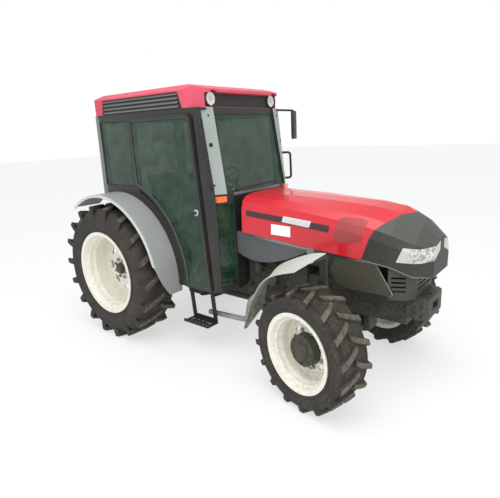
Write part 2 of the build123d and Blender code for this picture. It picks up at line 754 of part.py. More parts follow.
# Roof: one thick shell, crowned across and tapered in plan, with room for louvres, fascia and lamps
lamp_y = 367
lamp_z = roof_top_z - 124
lamp_radius = 50
bezel = 9
louvre_depth = 14
louvre_low_z = cab_top_z
louvre_high_z = roof_top_z - 66
louvre_back_x = ahead(-100)
louvre_front_x = ahead(900)
roof_taper_x = ahead(960)
fascia_half = 428
fascia_low_z = cab_top_z + 3
fascia_high_z = roof_top_z - 86
fascia_back_x = fascia_x - 30
with BuildPart() as roof:
    with BuildSketch(Plane.XZ.offset(-roof_half_width)):
        with BuildLine():
            Polyline(
                (roof_back_x, cab_top_z), (roof_back_x + 22, roof_top_z - 48),
                (roof_back_x + 90, roof_top_z - 17),
                (ahead(430), roof_top_z), (roof_taper_x, roof_top_z - 16), (roof_lip_x, roof_top_z - 58),
                (roof_lip_x, roof_top_z - 80), (fascia_x, fascia_high_z), (fascia_x, cab_top_z), close=True)
        make_face()
    extrude(amount=2 * roof_half_width)
    with BuildSketch(Plane.YZ.offset(roof_back_x - 10)):
        with BuildLine():
            Polyline(
                (-roof_half_width, cab_top_z), (roof_half_width, cab_top_z), (roof_half_width, roof_top_z - 55),
                (roof_half_width - 60, roof_top_z - 17), (180, roof_top_z), (-180, roof_top_z),
                (60 - roof_half_width, roof_top_z - 17), (-roof_half_width, roof_top_z - 55), close=True)
        make_face()
    extrude(amount=roof_lip_x - roof_back_x + 20, mode=Mode.INTERSECT)
    with BuildSketch(Plane.XY.offset(cab_top_z - 10)) as roof_plan:
        with BuildLine():
            Polyline(
                (roof_back_x - 5, -roof_half_width), (roof_taper_x, -roof_half_width), (roof_lip_x + 5, -410),
                (roof_lip_x + 5, 410), (roof_taper_x, roof_half_width), (roof_back_x - 5, roof_half_width),
                close=True)
        make_face()
        fillet(roof_plan.vertices().group_by(Axis.X)[0], 50)
    extrude(amount=roof_height + 20, mode=Mode.INTERSECT)
    for side in (-1, 1):
        with BuildSketch(Plane.XZ.offset(-side * (roof_half_width - louvre_depth))):
            with BuildLine():
                Polyline(
                    (louvre_back_x, louvre_low_z), (louvre_front_x + 40, louvre_low_z),
                    (louvre_front_x, louvre_high_z), (louvre_back_x + 20, louvre_high_z), close=True)
            make_face()
        extrude(amount=-side * 40, mode=Mode.SUBTRACT)
    with BuildSketch(Plane.YZ.offset(fascia_back_x)):
        with Locations((0, (fascia_low_z + fascia_high_z) / 2)):
            Rectangle(2 * fascia_half, fascia_high_z - fascia_low_z)
        with Locations((lamp_y, lamp_z), (-lamp_y, lamp_z)):
            Circle(lamp_radius + bezel + running_gap)
    extrude(amount=100, mode=Mode.SUBTRACT)
save(roof.part, "roof")

# Black trim of the roof: louvres on both sides, and the fascia with a bezel round each lamp
louvre_count = 4
louvre_pitch = (louvre_high_z - louvre_low_z) / louvre_count
with BuildPart() as roof_trim:
    for side in (-1, 1):
        back_y = roof_half_width - louvre_depth
        with BuildSketch(Plane.XZ.offset(-side * back_y)):
            with BuildLine():
                Polyline(
                    (louvre_back_x + 1, louvre_low_z + 1), (louvre_front_x + 38, louvre_low_z + 1),
                    (louvre_front_x - 1, louvre_high_z - 1), (louvre_back_x + 21, louvre_high_z - 1), close=True)
            make_face()
        extrude(amount=-side * 4)
        with BuildSketch(Plane.YZ.offset(louvre_back_x + 24)):
            for k in range(louvre_count):
                foot_z = louvre_low_z + k * louvre_pitch + 5
                with BuildLine():
                    Polyline(
                        (side * (back_y + 3), foot_z + 14), (side * (back_y + 11), foot_z),
                        (side * (back_y + 13), foot_z + 3), (side * (back_y + 3), foot_z + 20), close=True)
                make_face()
        extrude(amount=louvre_front_x - louvre_back_x - 30)
    with BuildSketch(Plane.YZ.offset(fascia_back_x)):
        with Locations((0, (fascia_low_z + fascia_high_z) / 2)):
            Rectangle(2 * fascia_half - 2, fascia_high_z - fascia_low_z - 2)
        with Locations((lamp_y, lamp_z), (-lamp_y, lamp_z)):
            Circle(lamp_radius + bezel)
            Circle(lamp_radius + running_gap, mode=Mode.SUBTRACT)
    extrude(amount=24)
    with BuildSketch(Plane.YZ.offset(fascia_back_x + 20)):
        with Locations((lamp_y, lamp_z), (-lamp_y, lamp_z)):
            Circle(lamp_radius + bezel)
            Circle(lamp_radius + running_gap, mode=Mode.SUBTRACT)
    extrude(amount=14)
save(roof_trim.part, "roof_trim")

# Lamps: work lamps in the roof, indicators on the front corners, tail lamps on the rear wall
with BuildPart() as lamps:
    with BuildSketch(Plane.YZ.offset(fascia_back_x)):
        with Locations((lamp_y, lamp_z), (-lamp_y, lamp_z)):
            Circle(lamp_radius)
    extrude(amount=28)
    for side in (-1, 1):
        facing = (corner_foot_half - firewall_half, side * (screen_foot_x - corner_x), 0)
        with BuildSketch(Plane(origin=(corner_x + 13, side * 415, 1312), x_dir=(0, 0, 1), z_dir=facing)):
            RectangleRounded(46, 84, 8)
        extrude(amount=28)
    with BuildSketch(Plane.YZ.offset(cab_back_x)):
        with Locations((335, 1215), (-335, 1215)):
            RectangleRounded(62, 100, 8)
    extrude(amount=-30)
save(lamps.part, "lamps")

# Windows that stay shut: windscreen, quarter windows beside the hood, side and rear windows
screen_lean = (screen_foot_x - screen_head_x) / (cab_top_z - screen_foot_z)
screen_top_z = cab_top_z - 52
with BuildPart() as windscreen:
    with BuildSketch(Plane.XZ.offset(-600)):
        foot = screen_foot_x - 16
        head = foot - screen_lean * (screen_top_z - screen_foot_z)
        with BuildLine():
            Polyline((foot, screen_foot_z + 1), (head, screen_top_z), (head - glass_thickness, screen_top_z),
                     (foot - glass_thickness, screen_foot_z + 1), close=True)
        make_face()
    extrude(amount=1200)
    with BuildSketch(Plane.YZ.offset(screen_head_x - 60)):
        with BuildLine():
            Polyline((-screen_foot_half + 1, screen_foot_z), (screen_foot_half - 1, screen_foot_z),
                     (screen_head_half - 1, cab_top_z), (1 - screen_head_half, cab_top_z), close=True)
        make_face()
    extrude(amount=200, mode=Mode.INTERSECT)
with BuildPart() as quarter_window:
    with BuildSketch(Plane.XY.offset(quarter_low_z)):
        with BuildLine():
            Polyline(
                (corner_x - 10, corner_foot_half - 3), (screen_foot_x - 10, firewall_half),
                (screen_foot_x - 10 - glass_thickness, firewall_half),
                (corner_x - 10 - glass_thickness, corner_foot_half - 3), close=True)
        make_face()
    extrude(amount=quarter_top_z - quarter_low_z)
    add(corner_post.part, mode=Mode.SUBTRACT)
side_window_corners = (
    (cab_back_x + 55, 1380), (ahead(222), 1380), (ahead(236), cab_top_z - window_margin),
    (cab_back_x + 68, cab_top_z - window_margin))
with BuildPart() as side_window:
    with BuildSketch(Plane.XZ.offset(-(cab_half_width - 16))):
        with BuildLine():
            Polyline(*side_window_corners, close=True)
        make_face()
        offset(amount=-running_gap, mode=Mode.REPLACE)
    extrude(amount=-glass_thickness)
with BuildPart() as rear_window:
    with BuildSketch(Plane.YZ.offset(cab_back_x + 12)):
        with Locations((0, rear_window_z)):
            Rectangle(2 * inner_half - 90 - 2 * running_gap, rear_window_height - 2 * running_gap)
    extrude(amount=glass_thickness)
windows = Compound(children=[
    windscreen.part, quarter_window.part, mirror(quarter_window.part, about=Plane.XZ), side_window.part,
    mirror(side_window.part, about=Plane.XZ), rear_window.part])
save(windows, "windows")

# Light corner panels on the chamfers beside the windscreen
panel_sheet = 4
with BuildPart() as corner_panel:
    for z, x_screen, half_screen, x_corner, half_corner in (corner_foot, corner_head):
        with BuildSketch(Plane.XY.offset(z)):
            with BuildLine():
                Polyline(
                    (x_screen + running_gap, half_screen), (x_corner + running_gap, half_corner),
                    (x_corner + panel_sheet, half_corner + panel_sheet),
                    (x_screen + 2 * panel_sheet, half_screen + panel_sheet), close=True)
            make_face()
    loft(ruled=True)
save(both_sides(corner_panel.part), "corner_panels")

# Rear fenders over the tyres, outside the cab, each with a lip and a rounded tip in front
fender_start = -10
fender_end = 126
fender_lip = 24
with BuildPart() as rear_fender:
    inner_y = cab_half_width - cab_wall + 1
    with BuildSketch(Plane.XZ.offset(-inner_y)):
        with Locations((rear_x, rear_axle_z)):
            Circle(arch_radius - running_gap)
            Circle(arch_radius - running_gap - fender_sheet, mode=Mode.SUBTRACT)
    extrude(amount=-(fender_outer_y - inner_y))
    with BuildSketch(Plane.XZ.offset(-(fender_outer_y - fender_sheet))):
        with Locations((rear_x, rear_axle_z)):
            Circle(arch_radius - running_gap)
            Circle(arch_radius - running_gap - fender_lip, mode=Mode.SUBTRACT)
    extrude(amount=-fender_sheet)
    with BuildSketch(Plane.XZ.offset(0)):
        far = 2 * arch_radius
        with BuildLine():
            Polyline(
                (rear_x, rear_axle_z),
                (rear_x + far * cos(radians(fender_start)), rear_axle_z + far * sin(radians(fender_start))),
                (rear_x + far, rear_axle_z + far), (rear_x - far, rear_axle_z + far),
                (rear_x + far * cos(radians(fender_end)), rear_axle_z + far * sin(radians(fender_end))),
                close=True)
        make_face()
    extrude(amount=-1000, mode=Mode.INTERSECT)
    with BuildSketch(Plane.YZ.offset(rear_x + arch_radius / 2)):
        with BuildLine():
            tip = Spline((fender_outer_y + 1, 800), (690, 647), (585, 485))
            Polyline(tip @ 1, (fender_outer_y + 60, 485), (fender_outer_y + 60, 800), tip @ 0)
        make_face()
    extrude(amount=arch_radius, mode=Mode.SUBTRACT)
save(both_sides(rear_fender.part), "rear_fenders")

# Doors, hinged at their rear edge, each with a slim frame and one pane
barrel_radius = 9
pin_radius = 4
hinge_heights = (screen_foot_z + 100, cab_top_z - 110)
hinge_y = cab_half_width + panel_gap + door_sheet / 2
door_corners = (
    (door_hinge_x + 12, door_top_z), (post_head_x - 10, door_top_z), (post_foot_x - 10, sill_z + 12),
    (ahead(500), sill_z + 12), (ahead(200), 1200), (door_hinge_x + 12, 1250))
door_corner_radius = 70
with BuildPart() as door:
    with BuildSketch(Plane.XZ.offset(-(cab_half_width + panel_gap))) as door_outline:
        with BuildLine():
            Polyline(*door_corners, close=True)
        make_face()
        with Locations((rear_x, rear_axle_z)):
            Circle(door_arc_radius, mode=Mode.SUBTRACT)
        fillet(door_outline.vertices().group_by(Axis.Y)[-1].sort_by(Axis.X)[-1:], door_corner_radius)
        offset(amount=-door_frame_width, mode=Mode.SUBTRACT)
    extrude(amount=-door_sheet)
    for z in hinge_heights:
        with BuildSketch(Plane.XY.offset(z - 25)):
            with Locations((door_hinge_x, hinge_y)):
                Circle(barrel_radius)
            with Locations((door_hinge_x + 8, hinge_y)):
                Rectangle(16, 10)
            with Locations((door_hinge_x, hinge_y)):
                Circle(pin_radius + running_gap, mode=Mode.SUBTRACT)
        extrude(amount=50)
with BuildPart() as door_glass:
    with BuildSketch(Plane.XZ.offset(-(cab_half_width + panel_gap + 10))) as pane_outline:
        with BuildLine():
            Polyline(*door_corners, close=True)
        make_face()
        with Locations((rear_x, rear_axle_z)):
            Circle(door_arc_radius, mode=Mode.SUBTRACT)
        fillet(pane_outline.vertices().group_by(Axis.Y)[-1].sort_by(Axis.X)[-1:], door_corner_radius)
        offset(amount=-door_frame_width - running_gap, mode=Mode.REPLACE)
    extrude(amount=-glass_thickness)
for side, name in sides:
    save(sided(door.part, side), f"door_{name}")
    save(sided(door_glass.part, side), f"door_glass_{name}")

# Hinge brackets and pins of the doors, on the cab's side frames
with BuildPart() as cab_side_hinged:
    add(cab_side.part)
    for z in hinge_heights:
        with BuildSketch(Plane.XY.offset(z + 25 + running_gap)):
            with Locations((door_hinge_x, hinge_y)):
                Circle(barrel_radius)
            with Locations((door_hinge_x, (hinge_y + cab_half_width) / 2)):
                Rectangle(2 * barrel_radius, hinge_y - cab_half_width)
        extrude(amount=20)
        with BuildSketch(Plane.XY.offset(z - 20)):
            with Locations((door_hinge_x, hinge_y)):
                Circle(pin_radius)
        extrude(amount=50)
save(both_sides(cab_side_hinged.part), "cab_sides")

# Hood and nose: one shell lofted through plain sections, divided by a seam that is a V in plan
hood_sections = (
    (hood_rear_x, ((325, 1050), (318, 1225), (300, 1290), (255, 1326), (150, 1340), (0, 1344))),
    ((hood_rear_x + nose_x - 420) / 2,
     ((305, 1003), (310, 1190), (292, 1250), (240, 1298), (130, 1328), (0, 1337))),
    (nose_x - 420, ((292, 960), (296, 1130), (280, 1190), (225, 1240), (120, 1295), (0, 1315))),
    (nose_x - 240, ((275, 935), (278, 1080), (262, 1140), (205, 1195), (105, 1262), (0, 1292))),
    (nose_x - 100, ((240, 882), (243, 1030), (220, 1085), (165, 1130), (85, 1192), (0, 1222))),
    (nose_x, ((150, 872), (152, 1000), (138, 1040), (110, 1076), (60, 1106), (0, 1116))),
)


def hood_solid(inset):
    """The hood's closed form, with every face moved inwards by the inset and the bottom left open."""
    with BuildPart() as form:
        for near, far in zip(hood_sections, hood_sections[1:]):
            for x, half in (near, far):
                if x == nose_x:
                    x -= inset
                half = [(max(y - inset, 0), z - inset) for y, z in half]
                if inset:
                    half[0] = (half[0][0], half[0][1] - 60)
                with BuildSketch(Plane.YZ.offset(x)):
                    with BuildLine():
                        Polyline(*half, *[(-y, z) for y, z in reversed(half[:-1])], close=True)
                    make_face()
            loft(ruled=True)
    return form.part


seam_side_x = nose_x - 419
seam_tip_x = nose_x - 171
seam_forward = Vector(592, 315, -206)
with BuildPart() as behind_seam:
    with BuildSketch(Plane.XY.offset(700)):
        with Locations(((hood_rear_x + seam_tip_x) / 2, 0)):
            Rectangle(seam_tip_x - hood_rear_x + 400, 800)
    extrude(amount=800)
    split(bisect_by=Plane(origin=(seam_side_x, 290, 981), z_dir=seam_forward), keep=Keep.BOTTOM)
    right_forward = Vector(seam_forward.X, -seam_forward.Y, seam_forward.Z)
    split(bisect_by=Plane(origin=(seam_side_x, -290, 981), z_dir=right_forward), keep=Keep.BOTTOM)
with BuildPart() as bonnet:
    add(hood_solid(0))
    add(hood_solid(hood_wall), mode=Mode.SUBTRACT)

# Room in the nose for the headlamps, which wrap round its corners and rise towards the middle
with BuildPart() as lamp_room:
    with BuildSketch(Plane.YZ.offset(nose_x - 300)):
        for side in (-1, 1):
            with BuildLine():
                Polyline(
                    (side * 40, 1030), (side * 150, 984), (side * 205, 972), (side * 320, 974),
                    (side * 320, 1080), (side * 205, 1060), (side * 150, 1066), (side * 40, 1092), close=True)
            make_face()
    extrude(amount=400)
    with BuildSketch(Plane.XZ.offset(-400)):
        with BuildLine():
            Polyline(
                (nose_x - 206, 960), (nose_x - 150, 1100), (nose_x + 50, 1100), (nose_x + 50, 960), close=True)
        make_face()
    extrude(amount=800, mode=Mode.INTERSECT)

# Room in the hood's sides for the mesh grilles
with BuildPart() as mesh_room:
    with BuildSketch(Plane.XZ.offset(-400)) as mesh_outline:
        with BuildLine():
            Polyline(
                (nose_x - 615, 1072), (nose_x - 425, 1080), (nose_x - 408, 1182), (nose_x - 575, 1182),
                close=True)
        make_face()
        fillet(mesh_outline.vertices(), 12)
    extrude(amount=800)
    with BuildSketch(Plane.XY.offset(1000)):
        with Locations((nose_x - 500, 0)):
            Rectangle(400, 400)
    extrude(amount=400, mode=Mode.SUBTRACT)

with BuildPart() as hood:
    add(bonnet.part)
    add(behind_seam.part, mode=Mode.INTERSECT)
    add(mesh_room.part, mode=Mode.SUBTRACT)
    for y in (-hood_hinge_y, hood_hinge_y):
        for inner in (y - 17, y + 7):
            with BuildSketch(Plane.XZ.offset(-inner - 10)):
                with Locations((hood_hinge_x, hood_hinge_z)):
                    Circle(14)
                with Locations((hood_hinge_x, hood_hinge_z + 13)):
                    Rectangle(28, 26)
                with Locations((hood_hinge_x, hood_hinge_z)):
                    Circle(hood_pin_radius + running_gap, mode=Mode.SUBTRACT)
            extrude(amount=10)
with BuildPart() as nose:
    add(bonnet.part)
    add(behind_seam.part, mode=Mode.SUBTRACT)
    add(lamp_room.part, mode=Mode.SUBTRACT)
with BuildPart() as headlamps:
    add(bonnet.part)
    add(behind_seam.part, mode=Mode.SUBTRACT)
    add(lamp_room.part, mode=Mode.INTERSECT)
with BuildPart() as hood_grilles:
    add(bonnet.part)
    add(behind_seam.part, mode=Mode.INTERSECT)
    add(mesh_room.part, mode=Mode.INTERSECT)
save(hood.part, "hood")
save(nose.part, "nose")
save(headlamps.part, "headlamps")
save(hood_grilles.part, "hood_grilles")

# Panels under the hood: a curved one from the firewall, and one beside the radiator on a folded foot
panel_y = 283
with BuildPart() as rear_side_panel:
    with BuildSketch(Plane.XZ.offset(-panel_y)):
        with BuildLine():
            low = Spline((screen_foot_x, 868), (ahead(1426), 820), (ahead(1593), 844), (ahead(1925), 985))
            Polyline(low @ 1, (ahead(1800), 996), (hood_rear_x, 1043), (screen_foot_x, 1043), low @ 0)
        make_face()
    extrude(amount=-8)
with BuildPart() as radiator_panel:
    with BuildSketch(Plane.XZ.offset(-(panel_y - 15))) as radiator_outline:
        with BuildLine():
            Polyline(
                (nose_x - 697, 948), (nose_x - 440, 950), (nose_x - 328, 934), (nose_x - 205, 740),
                (nose_x - 500, 740), (nose_x - 619, 765), close=True)
        make_face()
        fillet(radiator_outline.vertices(), 14)
    extrude(amount=-8)
    with BuildSketch(Plane.XY.offset(bolster_top_z)):
        with Locations((nose_x - 375, (panel_y - 10 + 100) / 2)):
            Rectangle(240, panel_y - 10 - 100)
    extrude(amount=8)
save(both_sides(rear_side_panel.part + radiator_panel.part), "side_panels")

# Grille under the nose, bent round the front and standing on the tow block
with BuildPart() as lower_grille:
    with BuildSketch(Plane.XY.offset(tow_top_z)):
        with BuildLine():
            Polyline(
                (nose_x - 250, -262), (nose_x - 140, -212), (nose_x - 100, -150), (nose_x - 100, 150),
                (nose_x - 140, 212), (nose_x - 250, 262), (nose_x - 252, 257), (nose_x - 144, 208),
                (nose_x - 106, 146), (nose_x - 106, -146), (nose_x - 144, -208), (nose_x - 252, -257),
                close=True)
        make_face()
    extrude(amount=300)
    with BuildSketch(Plane.XZ.offset(-300)):
        with BuildLine():
            Polyline(
                (nose_x - 260, tow_top_z), (nose_x - 90, tow_top_z), (nose_x - 90, 872), (nose_x - 240, 922),
                (nose_x - 260, 925), close=True)
        make_face()
        with Locations((nose_x - 190, 770), (nose_x - 190, 800), (nose_x - 190, 830), (nose_x - 190, 860)):
            Rectangle(84, 12, mode=Mode.SUBTRACT)
    extrude(amount=600, mode=Mode.INTERSECT)
    with BuildSketch(Plane.YZ.offset(nose_x - 130)):
        with Locations((0, 770), (0, 800), (0, 830), (0, 860)):
            Rectangle(250, 12)
    extrude(amount=60, mode=Mode.SUBTRACT)
save(lower_grille.part, "lower_grille")

# Radiator on the bolster, inside the nose
with BuildPart() as radiator:
    with BuildSketch(Plane.XY.offset(bolster_top_z + 8)):
        with Locations((nose_x - 430, 0)):
            Rectangle(110, 400)
    extrude(amount=402)
save(radiator.part, "radiator")

# Shaft to the front axle
with BuildPart() as drive_shaft:
    with BuildSketch(Plane.YZ.offset(deck_front_x)):
        with Locations((shaft_y, front_axle_z)):
            Circle(30)
    extrude(amount=front_x - 80 - deck_front_x)
save(drive_shaft.part, "drive_shaft")

# Exhaust from the engine's right side, out beside the transmission and back under the cab
exhaust_radius = 22
exhaust_x = engine_back_x + 150
with BuildPart() as exhaust:
    with BuildLine() as exhaust_route:
        FilletPolyline(
            (exhaust_x, -engine_half_width, 520), (exhaust_x, -350, 520), (exhaust_x - 40, -350, 325),
            (ahead(900), -350, 300), radius=70)
    with BuildSketch(Plane(origin=exhaust_route.line @ 0, z_dir=exhaust_route.line % 0)):
        Circle(exhaust_radius)
    sweep(path=exhaust_route.line)
save(exhaust.part, "exhaust")

# Steps under the doors: a tray with a raised edge, hung on two straps
step_z = 240
step_back_x = ahead(750)
step_front_x = ahead(1040)
with BuildPart() as step:
    with BuildSketch(Plane.YZ.offset(step_back_x)):
        with BuildLine():
            Polyline(
                (400, step_z + 40), (400, step_z), (524, step_z), (524, step_z + 26), (518, step_z + 26),
                (518, step_z + 8), (408, step_z + 8), (408, step_z + 40), close=True)
        make_face()
    extrude(amount=step_front_x - step_back_x)
    for x in (step_back_x + 20, step_front_x - 20):
        with BuildSketch(Plane.YZ.offset(x - 20)):
            with BuildLine():
                Polyline(
                    (400, step_z + 20), (410, step_z + 20), (430, sill_z - 30), (430, sill_z), (420, sill_z),
                    (420, sill_z - 30), close=True)
            make_face()
        extrude(amount=40)
    with BuildSketch(Plane.XY.offset(step_z - 5)):
        with Locations(((step_back_x + step_front_x) / 2, 463)):
            with GridLocations(48, 44, 5, 2):
                SlotOverall(34, 16)
    extrude(amount=20, mode=Mode.SUBTRACT)
save(both_sides(step.part), "steps")

# Steering rod through its cylinder, its eyes lying on the knuckles' arms
with BuildPart() as steering_rod:
    slide_offset = steer_arm * sin(radians(rest_steer))
    reach = kingpin_y - steer_arm_inset * cos(radians(rest_steer))
    with BuildSketch(Plane.XZ.offset(-(reach + slide_offset))):
        with Locations((rod_x, rod_z)):
            Circle(rod_radius)
    extrude(amount=2 * reach)
    with BuildSketch(Plane.XY.offset(arm_z + running_gap)):
        with Locations((rod_x, reach + slide_offset), (rod_x, slide_offset - reach)):
            Circle(20)
    extrude(amount=16)
save(steering_rod.part, "steering_rod")

# Seat on its base
base_height = 110
with BuildPart() as seat_base:
    with BuildSketch(Plane.XY.offset(deck_z + floor_sheet)):
        with Locations((ahead(240), 0)):
            Rectangle(300, 300)
    extrude(amount=base_height)
save(seat_base.part, "seat_base")
seat_z = deck_z + floor_sheet + base_height + running_gap
seat_half = 225
with BuildPart() as seat:
    with BuildSketch(Plane.XZ.offset(-seat_half)) as seat_side:
        with BuildLine():
            Polyline(
                (ahead(40), seat_z), (ahead(490), seat_z), (ahead(500), seat_z + 100), (ahead(120), seat_z + 80),
                (ahead(50), seat_z + 480), (ahead(-40), seat_z + 480), (ahead(20), seat_z + 60), close=True)
        make_face()
        fillet(seat_side.vertices().group_by(Axis.Z)[-1], 35)
    extrude(amount=2 * seat_half)
save(seat.part, "seat")

# Dashboard on the hump, with the steering column and wheel
column_length = 190
column_plane = Plane(origin=(ahead(970), 0, 1250), z_dir=(-1, 0, 0.8))
with BuildPart() as dashboard:
    with BuildSketch(Plane.XZ.offset(-140)) as dashboard_side:
        with BuildLine():
            Polyline(
                (ahead(960), 820), (ahead(1150), 820), (ahead(1150), 1330), (ahead(1020), 1330),
                (ahead(930), 1250), close=True)
        make_face()
        fillet(dashboard_side.vertices().group_by(Axis.Z)[-1], 20)
    extrude(amount=280)
    with BuildSketch(column_plane):
        Circle(26)
    extrude(amount=column_length)
save(dashboard.part, "dashboard")
wheel_plane = column_plane.offset(column_length)
wheel_radius = 178
grip = 13
with BuildPart() as steering_wheel:
    with BuildSketch(wheel_plane):
        Circle(50)
        for turn in (90, 210, 330):
            with Locations(Location((90 * cos(radians(turn)), 90 * sin(radians(turn))), turn)):
                Rectangle(180, 26)
        Circle(wheel_radius, mode=Mode.INTERSECT)
    extrude(amount=12)
    rim_section = Plane(origin=wheel_plane.origin + wheel_plane.z_dir * 6, x_dir=wheel_plane.x_dir,
                        z_dir=wheel_plane.y_dir)
    with BuildSketch(rim_section):
        with Locations((wheel_radius, 0)):
            RegularPolygon(grip, 8)
    revolve(axis=Axis(wheel_plane.origin, wheel_plane.z_dir))
save(steering_wheel.part, "steering_wheel")

# Mirror on the left corner, and the bare stub of its arm on the right
mirror_z = roof_top_z - 212
mirror_turn = 23
mirror_y = 695
with BuildPart() as mirrors:
    with BuildSketch(Plane.XZ.offset(-440)):
        with Locations((ahead(1105), mirror_z + 15)):
            Circle(9)
    extrude(amount=-(mirror_y - 440))
    with BuildSketch(Plane.XZ.offset(500)):
        with Locations((ahead(1105), mirror_z + 15)):
            Circle(9)
    extrude(amount=-70)
    with BuildSketch(Plane.XY.offset(mirror_z - 240)):
        with Locations(Location((ahead(1115), mirror_y), mirror_turn)):
            RectangleRounded(24, 150, 8)
    extrude(amount=250)
    for stack in (corner_post.part, corner_panel.part):
        add(stack, mode=Mode.SUBTRACT)
        add(mirror(stack, about=Plane.XZ), mode=Mode.SUBTRACT)
save(Compound(children=mirrors.part.solids().sort_by(SortBy.VOLUME)[-2:]), "mirrors")

# Handrails: a long one on the right corner, and a bow on the left
rail_radius = 10
with BuildPart() as right_rail:
    with BuildLine() as right_route:
        FilletPolyline(
            (ahead(1130), -460, 1400), (ahead(1180), -505, 1400), (ahead(1120), -520, 1900),
            (ahead(1070), -475, 1900), radius=24)
    with BuildSketch(Plane(origin=right_route.line @ 0, z_dir=right_route.line % 0)):
        Circle(rail_radius)
    sweep(path=right_route.line)
with BuildPart() as left_rail:
    with BuildLine() as left_route:
        FilletPolyline(
            (ahead(1150), 440, 1385), (ahead(1205), 500, 1385), (ahead(1190), 515, 1610),
            (ahead(1120), 450, 1610), radius=24)
    with BuildSketch(Plane(origin=left_route.line @ 0, z_dir=left_route.line % 0)):
        Circle(rail_radius)
    sweep(path=left_route.line)
with BuildPart() as handrails:
    add(right_rail.part)
    add(left_rail.part)
    for stack in (corner_post.part, corner_panel.part):
        add(stack, mode=Mode.SUBTRACT)
        add(mirror(stack, about=Plane.XZ), mode=Mode.SUBTRACT)
save(Compound(children=handrails.part.solids().sort_by(SortBy.VOLUME)[-2:]), "handrails")

arm_y = 280
rod_y = 304
arm_tip = (arm_pivot_x - arm_length, arm_pivot_z - 25)

# Frame of the rear linkage: link pins, rockshaft and drawbar
with BuildPart() as hitch_frame:
    for side in (-1, 1):
        with BuildSketch(Plane.XZ.offset(-side * housing_half_width)):
            with Locations((link_pivot_x, link_pivot_z)):
                Circle(18)
        extrude(amount=-side * (link_pivot_y + 30 - housing_half_width))
        with BuildSketch(Plane.XZ.offset(-side * housing_half_width)):
            with Locations((arm_pivot_x, arm_pivot_z)):
                Circle(30)
        extrude(amount=-side * (arm_y + 4 - housing_half_width))
    with BuildSketch(Plane.XY.offset(385)):
        with Locations((ahead(-340), 0)):
            Rectangle(440, 70)
        with Locations((ahead(-530), 0)):
            Circle(16, mode=Mode.SUBTRACT)
    extrude(amount=28)
    with BuildSketch(Plane.XY.offset(385)):
        with Locations((ahead(-100), 0)):
            Rectangle(100, 120)
    extrude(amount=45)
    for y in (-32, 22):
        with BuildSketch(Plane.XZ.offset(-y - 10)):
            with BuildLine():
                Polyline(
                    (housing_back_x, 640), (housing_back_x - 60, 668), (housing_back_x - 60, 712),
                    (housing_back_x, 740), close=True)
            make_face()
            with Locations((housing_back_x - 38, 690)):
                Circle(10, mode=Mode.SUBTRACT)
        extrude(amount=10)
save(hitch_frame.part, "hitch_frame")

# Lower links with their ball eyes, splayed towards the rear
link_end_x = ahead(-900)
link_end_y = 341
with BuildPart() as lower_link:
    with BuildSketch(Plane.XY.offset(link_pivot_z - 28)):
        with BuildLine():
            Polyline(
                (link_pivot_x, link_pivot_y - 13), (link_end_x, link_end_y - 13), (link_end_x, link_end_y + 13),
                (link_pivot_x, link_pivot_y + 13), close=True)
        make_face()
    extrude(amount=56)
    for x, y, width, radius, bore in ((link_pivot_x, link_pivot_y, 40, 34, 18.3),
                                      (link_end_x, link_end_y, link_eye_width, 35, link_eye_radius)):
        with BuildSketch(Plane.XZ.offset(-y - width / 2)):
            with Locations((x, link_pivot_z)):
                Circle(radius)
        extrude(amount=width)
        with BuildSketch(Plane.XZ.offset(-y - width)):
            with Locations((x, link_pivot_z)):
                Circle(bore)
        extrude(amount=2 * width, mode=Mode.SUBTRACT)
save(both_sides(lower_link.part), "lower_links")

# Lift arms on the rockshaft, and the lift rods that hang from them
with BuildPart() as lift_arm:
    with BuildSketch(Plane.XZ.offset(-(arm_y - 11))):
        with Locations((arm_pivot_x, arm_pivot_z)):
            Circle(48)
        with Locations(arm_tip):
            Circle(28)
        with BuildLine():
            Polyline(
                (arm_pivot_x, arm_pivot_z + 44), (arm_tip[0], arm_tip[1] + 27), (arm_tip[0], arm_tip[1] - 27),
                (arm_pivot_x, arm_pivot_z - 44), close=True)
        make_face()
    extrude(amount=-22)
    with BuildSketch(Plane.XZ.offset(-(arm_y - 12))):
        with Locations((arm_pivot_x, arm_pivot_z)):
            Circle(30 + running_gap)
    extrude(amount=-16 - running_gap, mode=Mode.SUBTRACT)
    with BuildSketch(Plane.XZ.offset(-(arm_y + 11))):
        with Locations(arm_tip):
            Circle(12)
    extrude(amount=-24)
save(both_sides(lift_arm.part), "lift_arms")
with BuildPart() as lift_rod:
    with BuildSketch(Plane.XZ.offset(-(rod_y - 10))):
        with Locations(arm_tip, (arm_tip[0], link_pivot_z)):
            Circle(26)
        with Locations((arm_tip[0], (arm_tip[1] + link_pivot_z) / 2)):
            Rectangle(20, arm_tip[1] - link_pivot_z)
        with Locations(arm_tip):
            Circle(12.3, mode=Mode.SUBTRACT)
        with Locations((arm_tip[0], link_pivot_z)):
            Circle(12, mode=Mode.SUBTRACT)
    extrude(amount=-20)
save(both_sides(lift_rod.part), "lift_rods")
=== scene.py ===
"""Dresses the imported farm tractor: camera, light, materials and the fine pieces that the solids leave out."""

import math

import bmesh
import bpy
from mathutils import Matrix, Vector
from mathutils.bvhtree import BVHTree


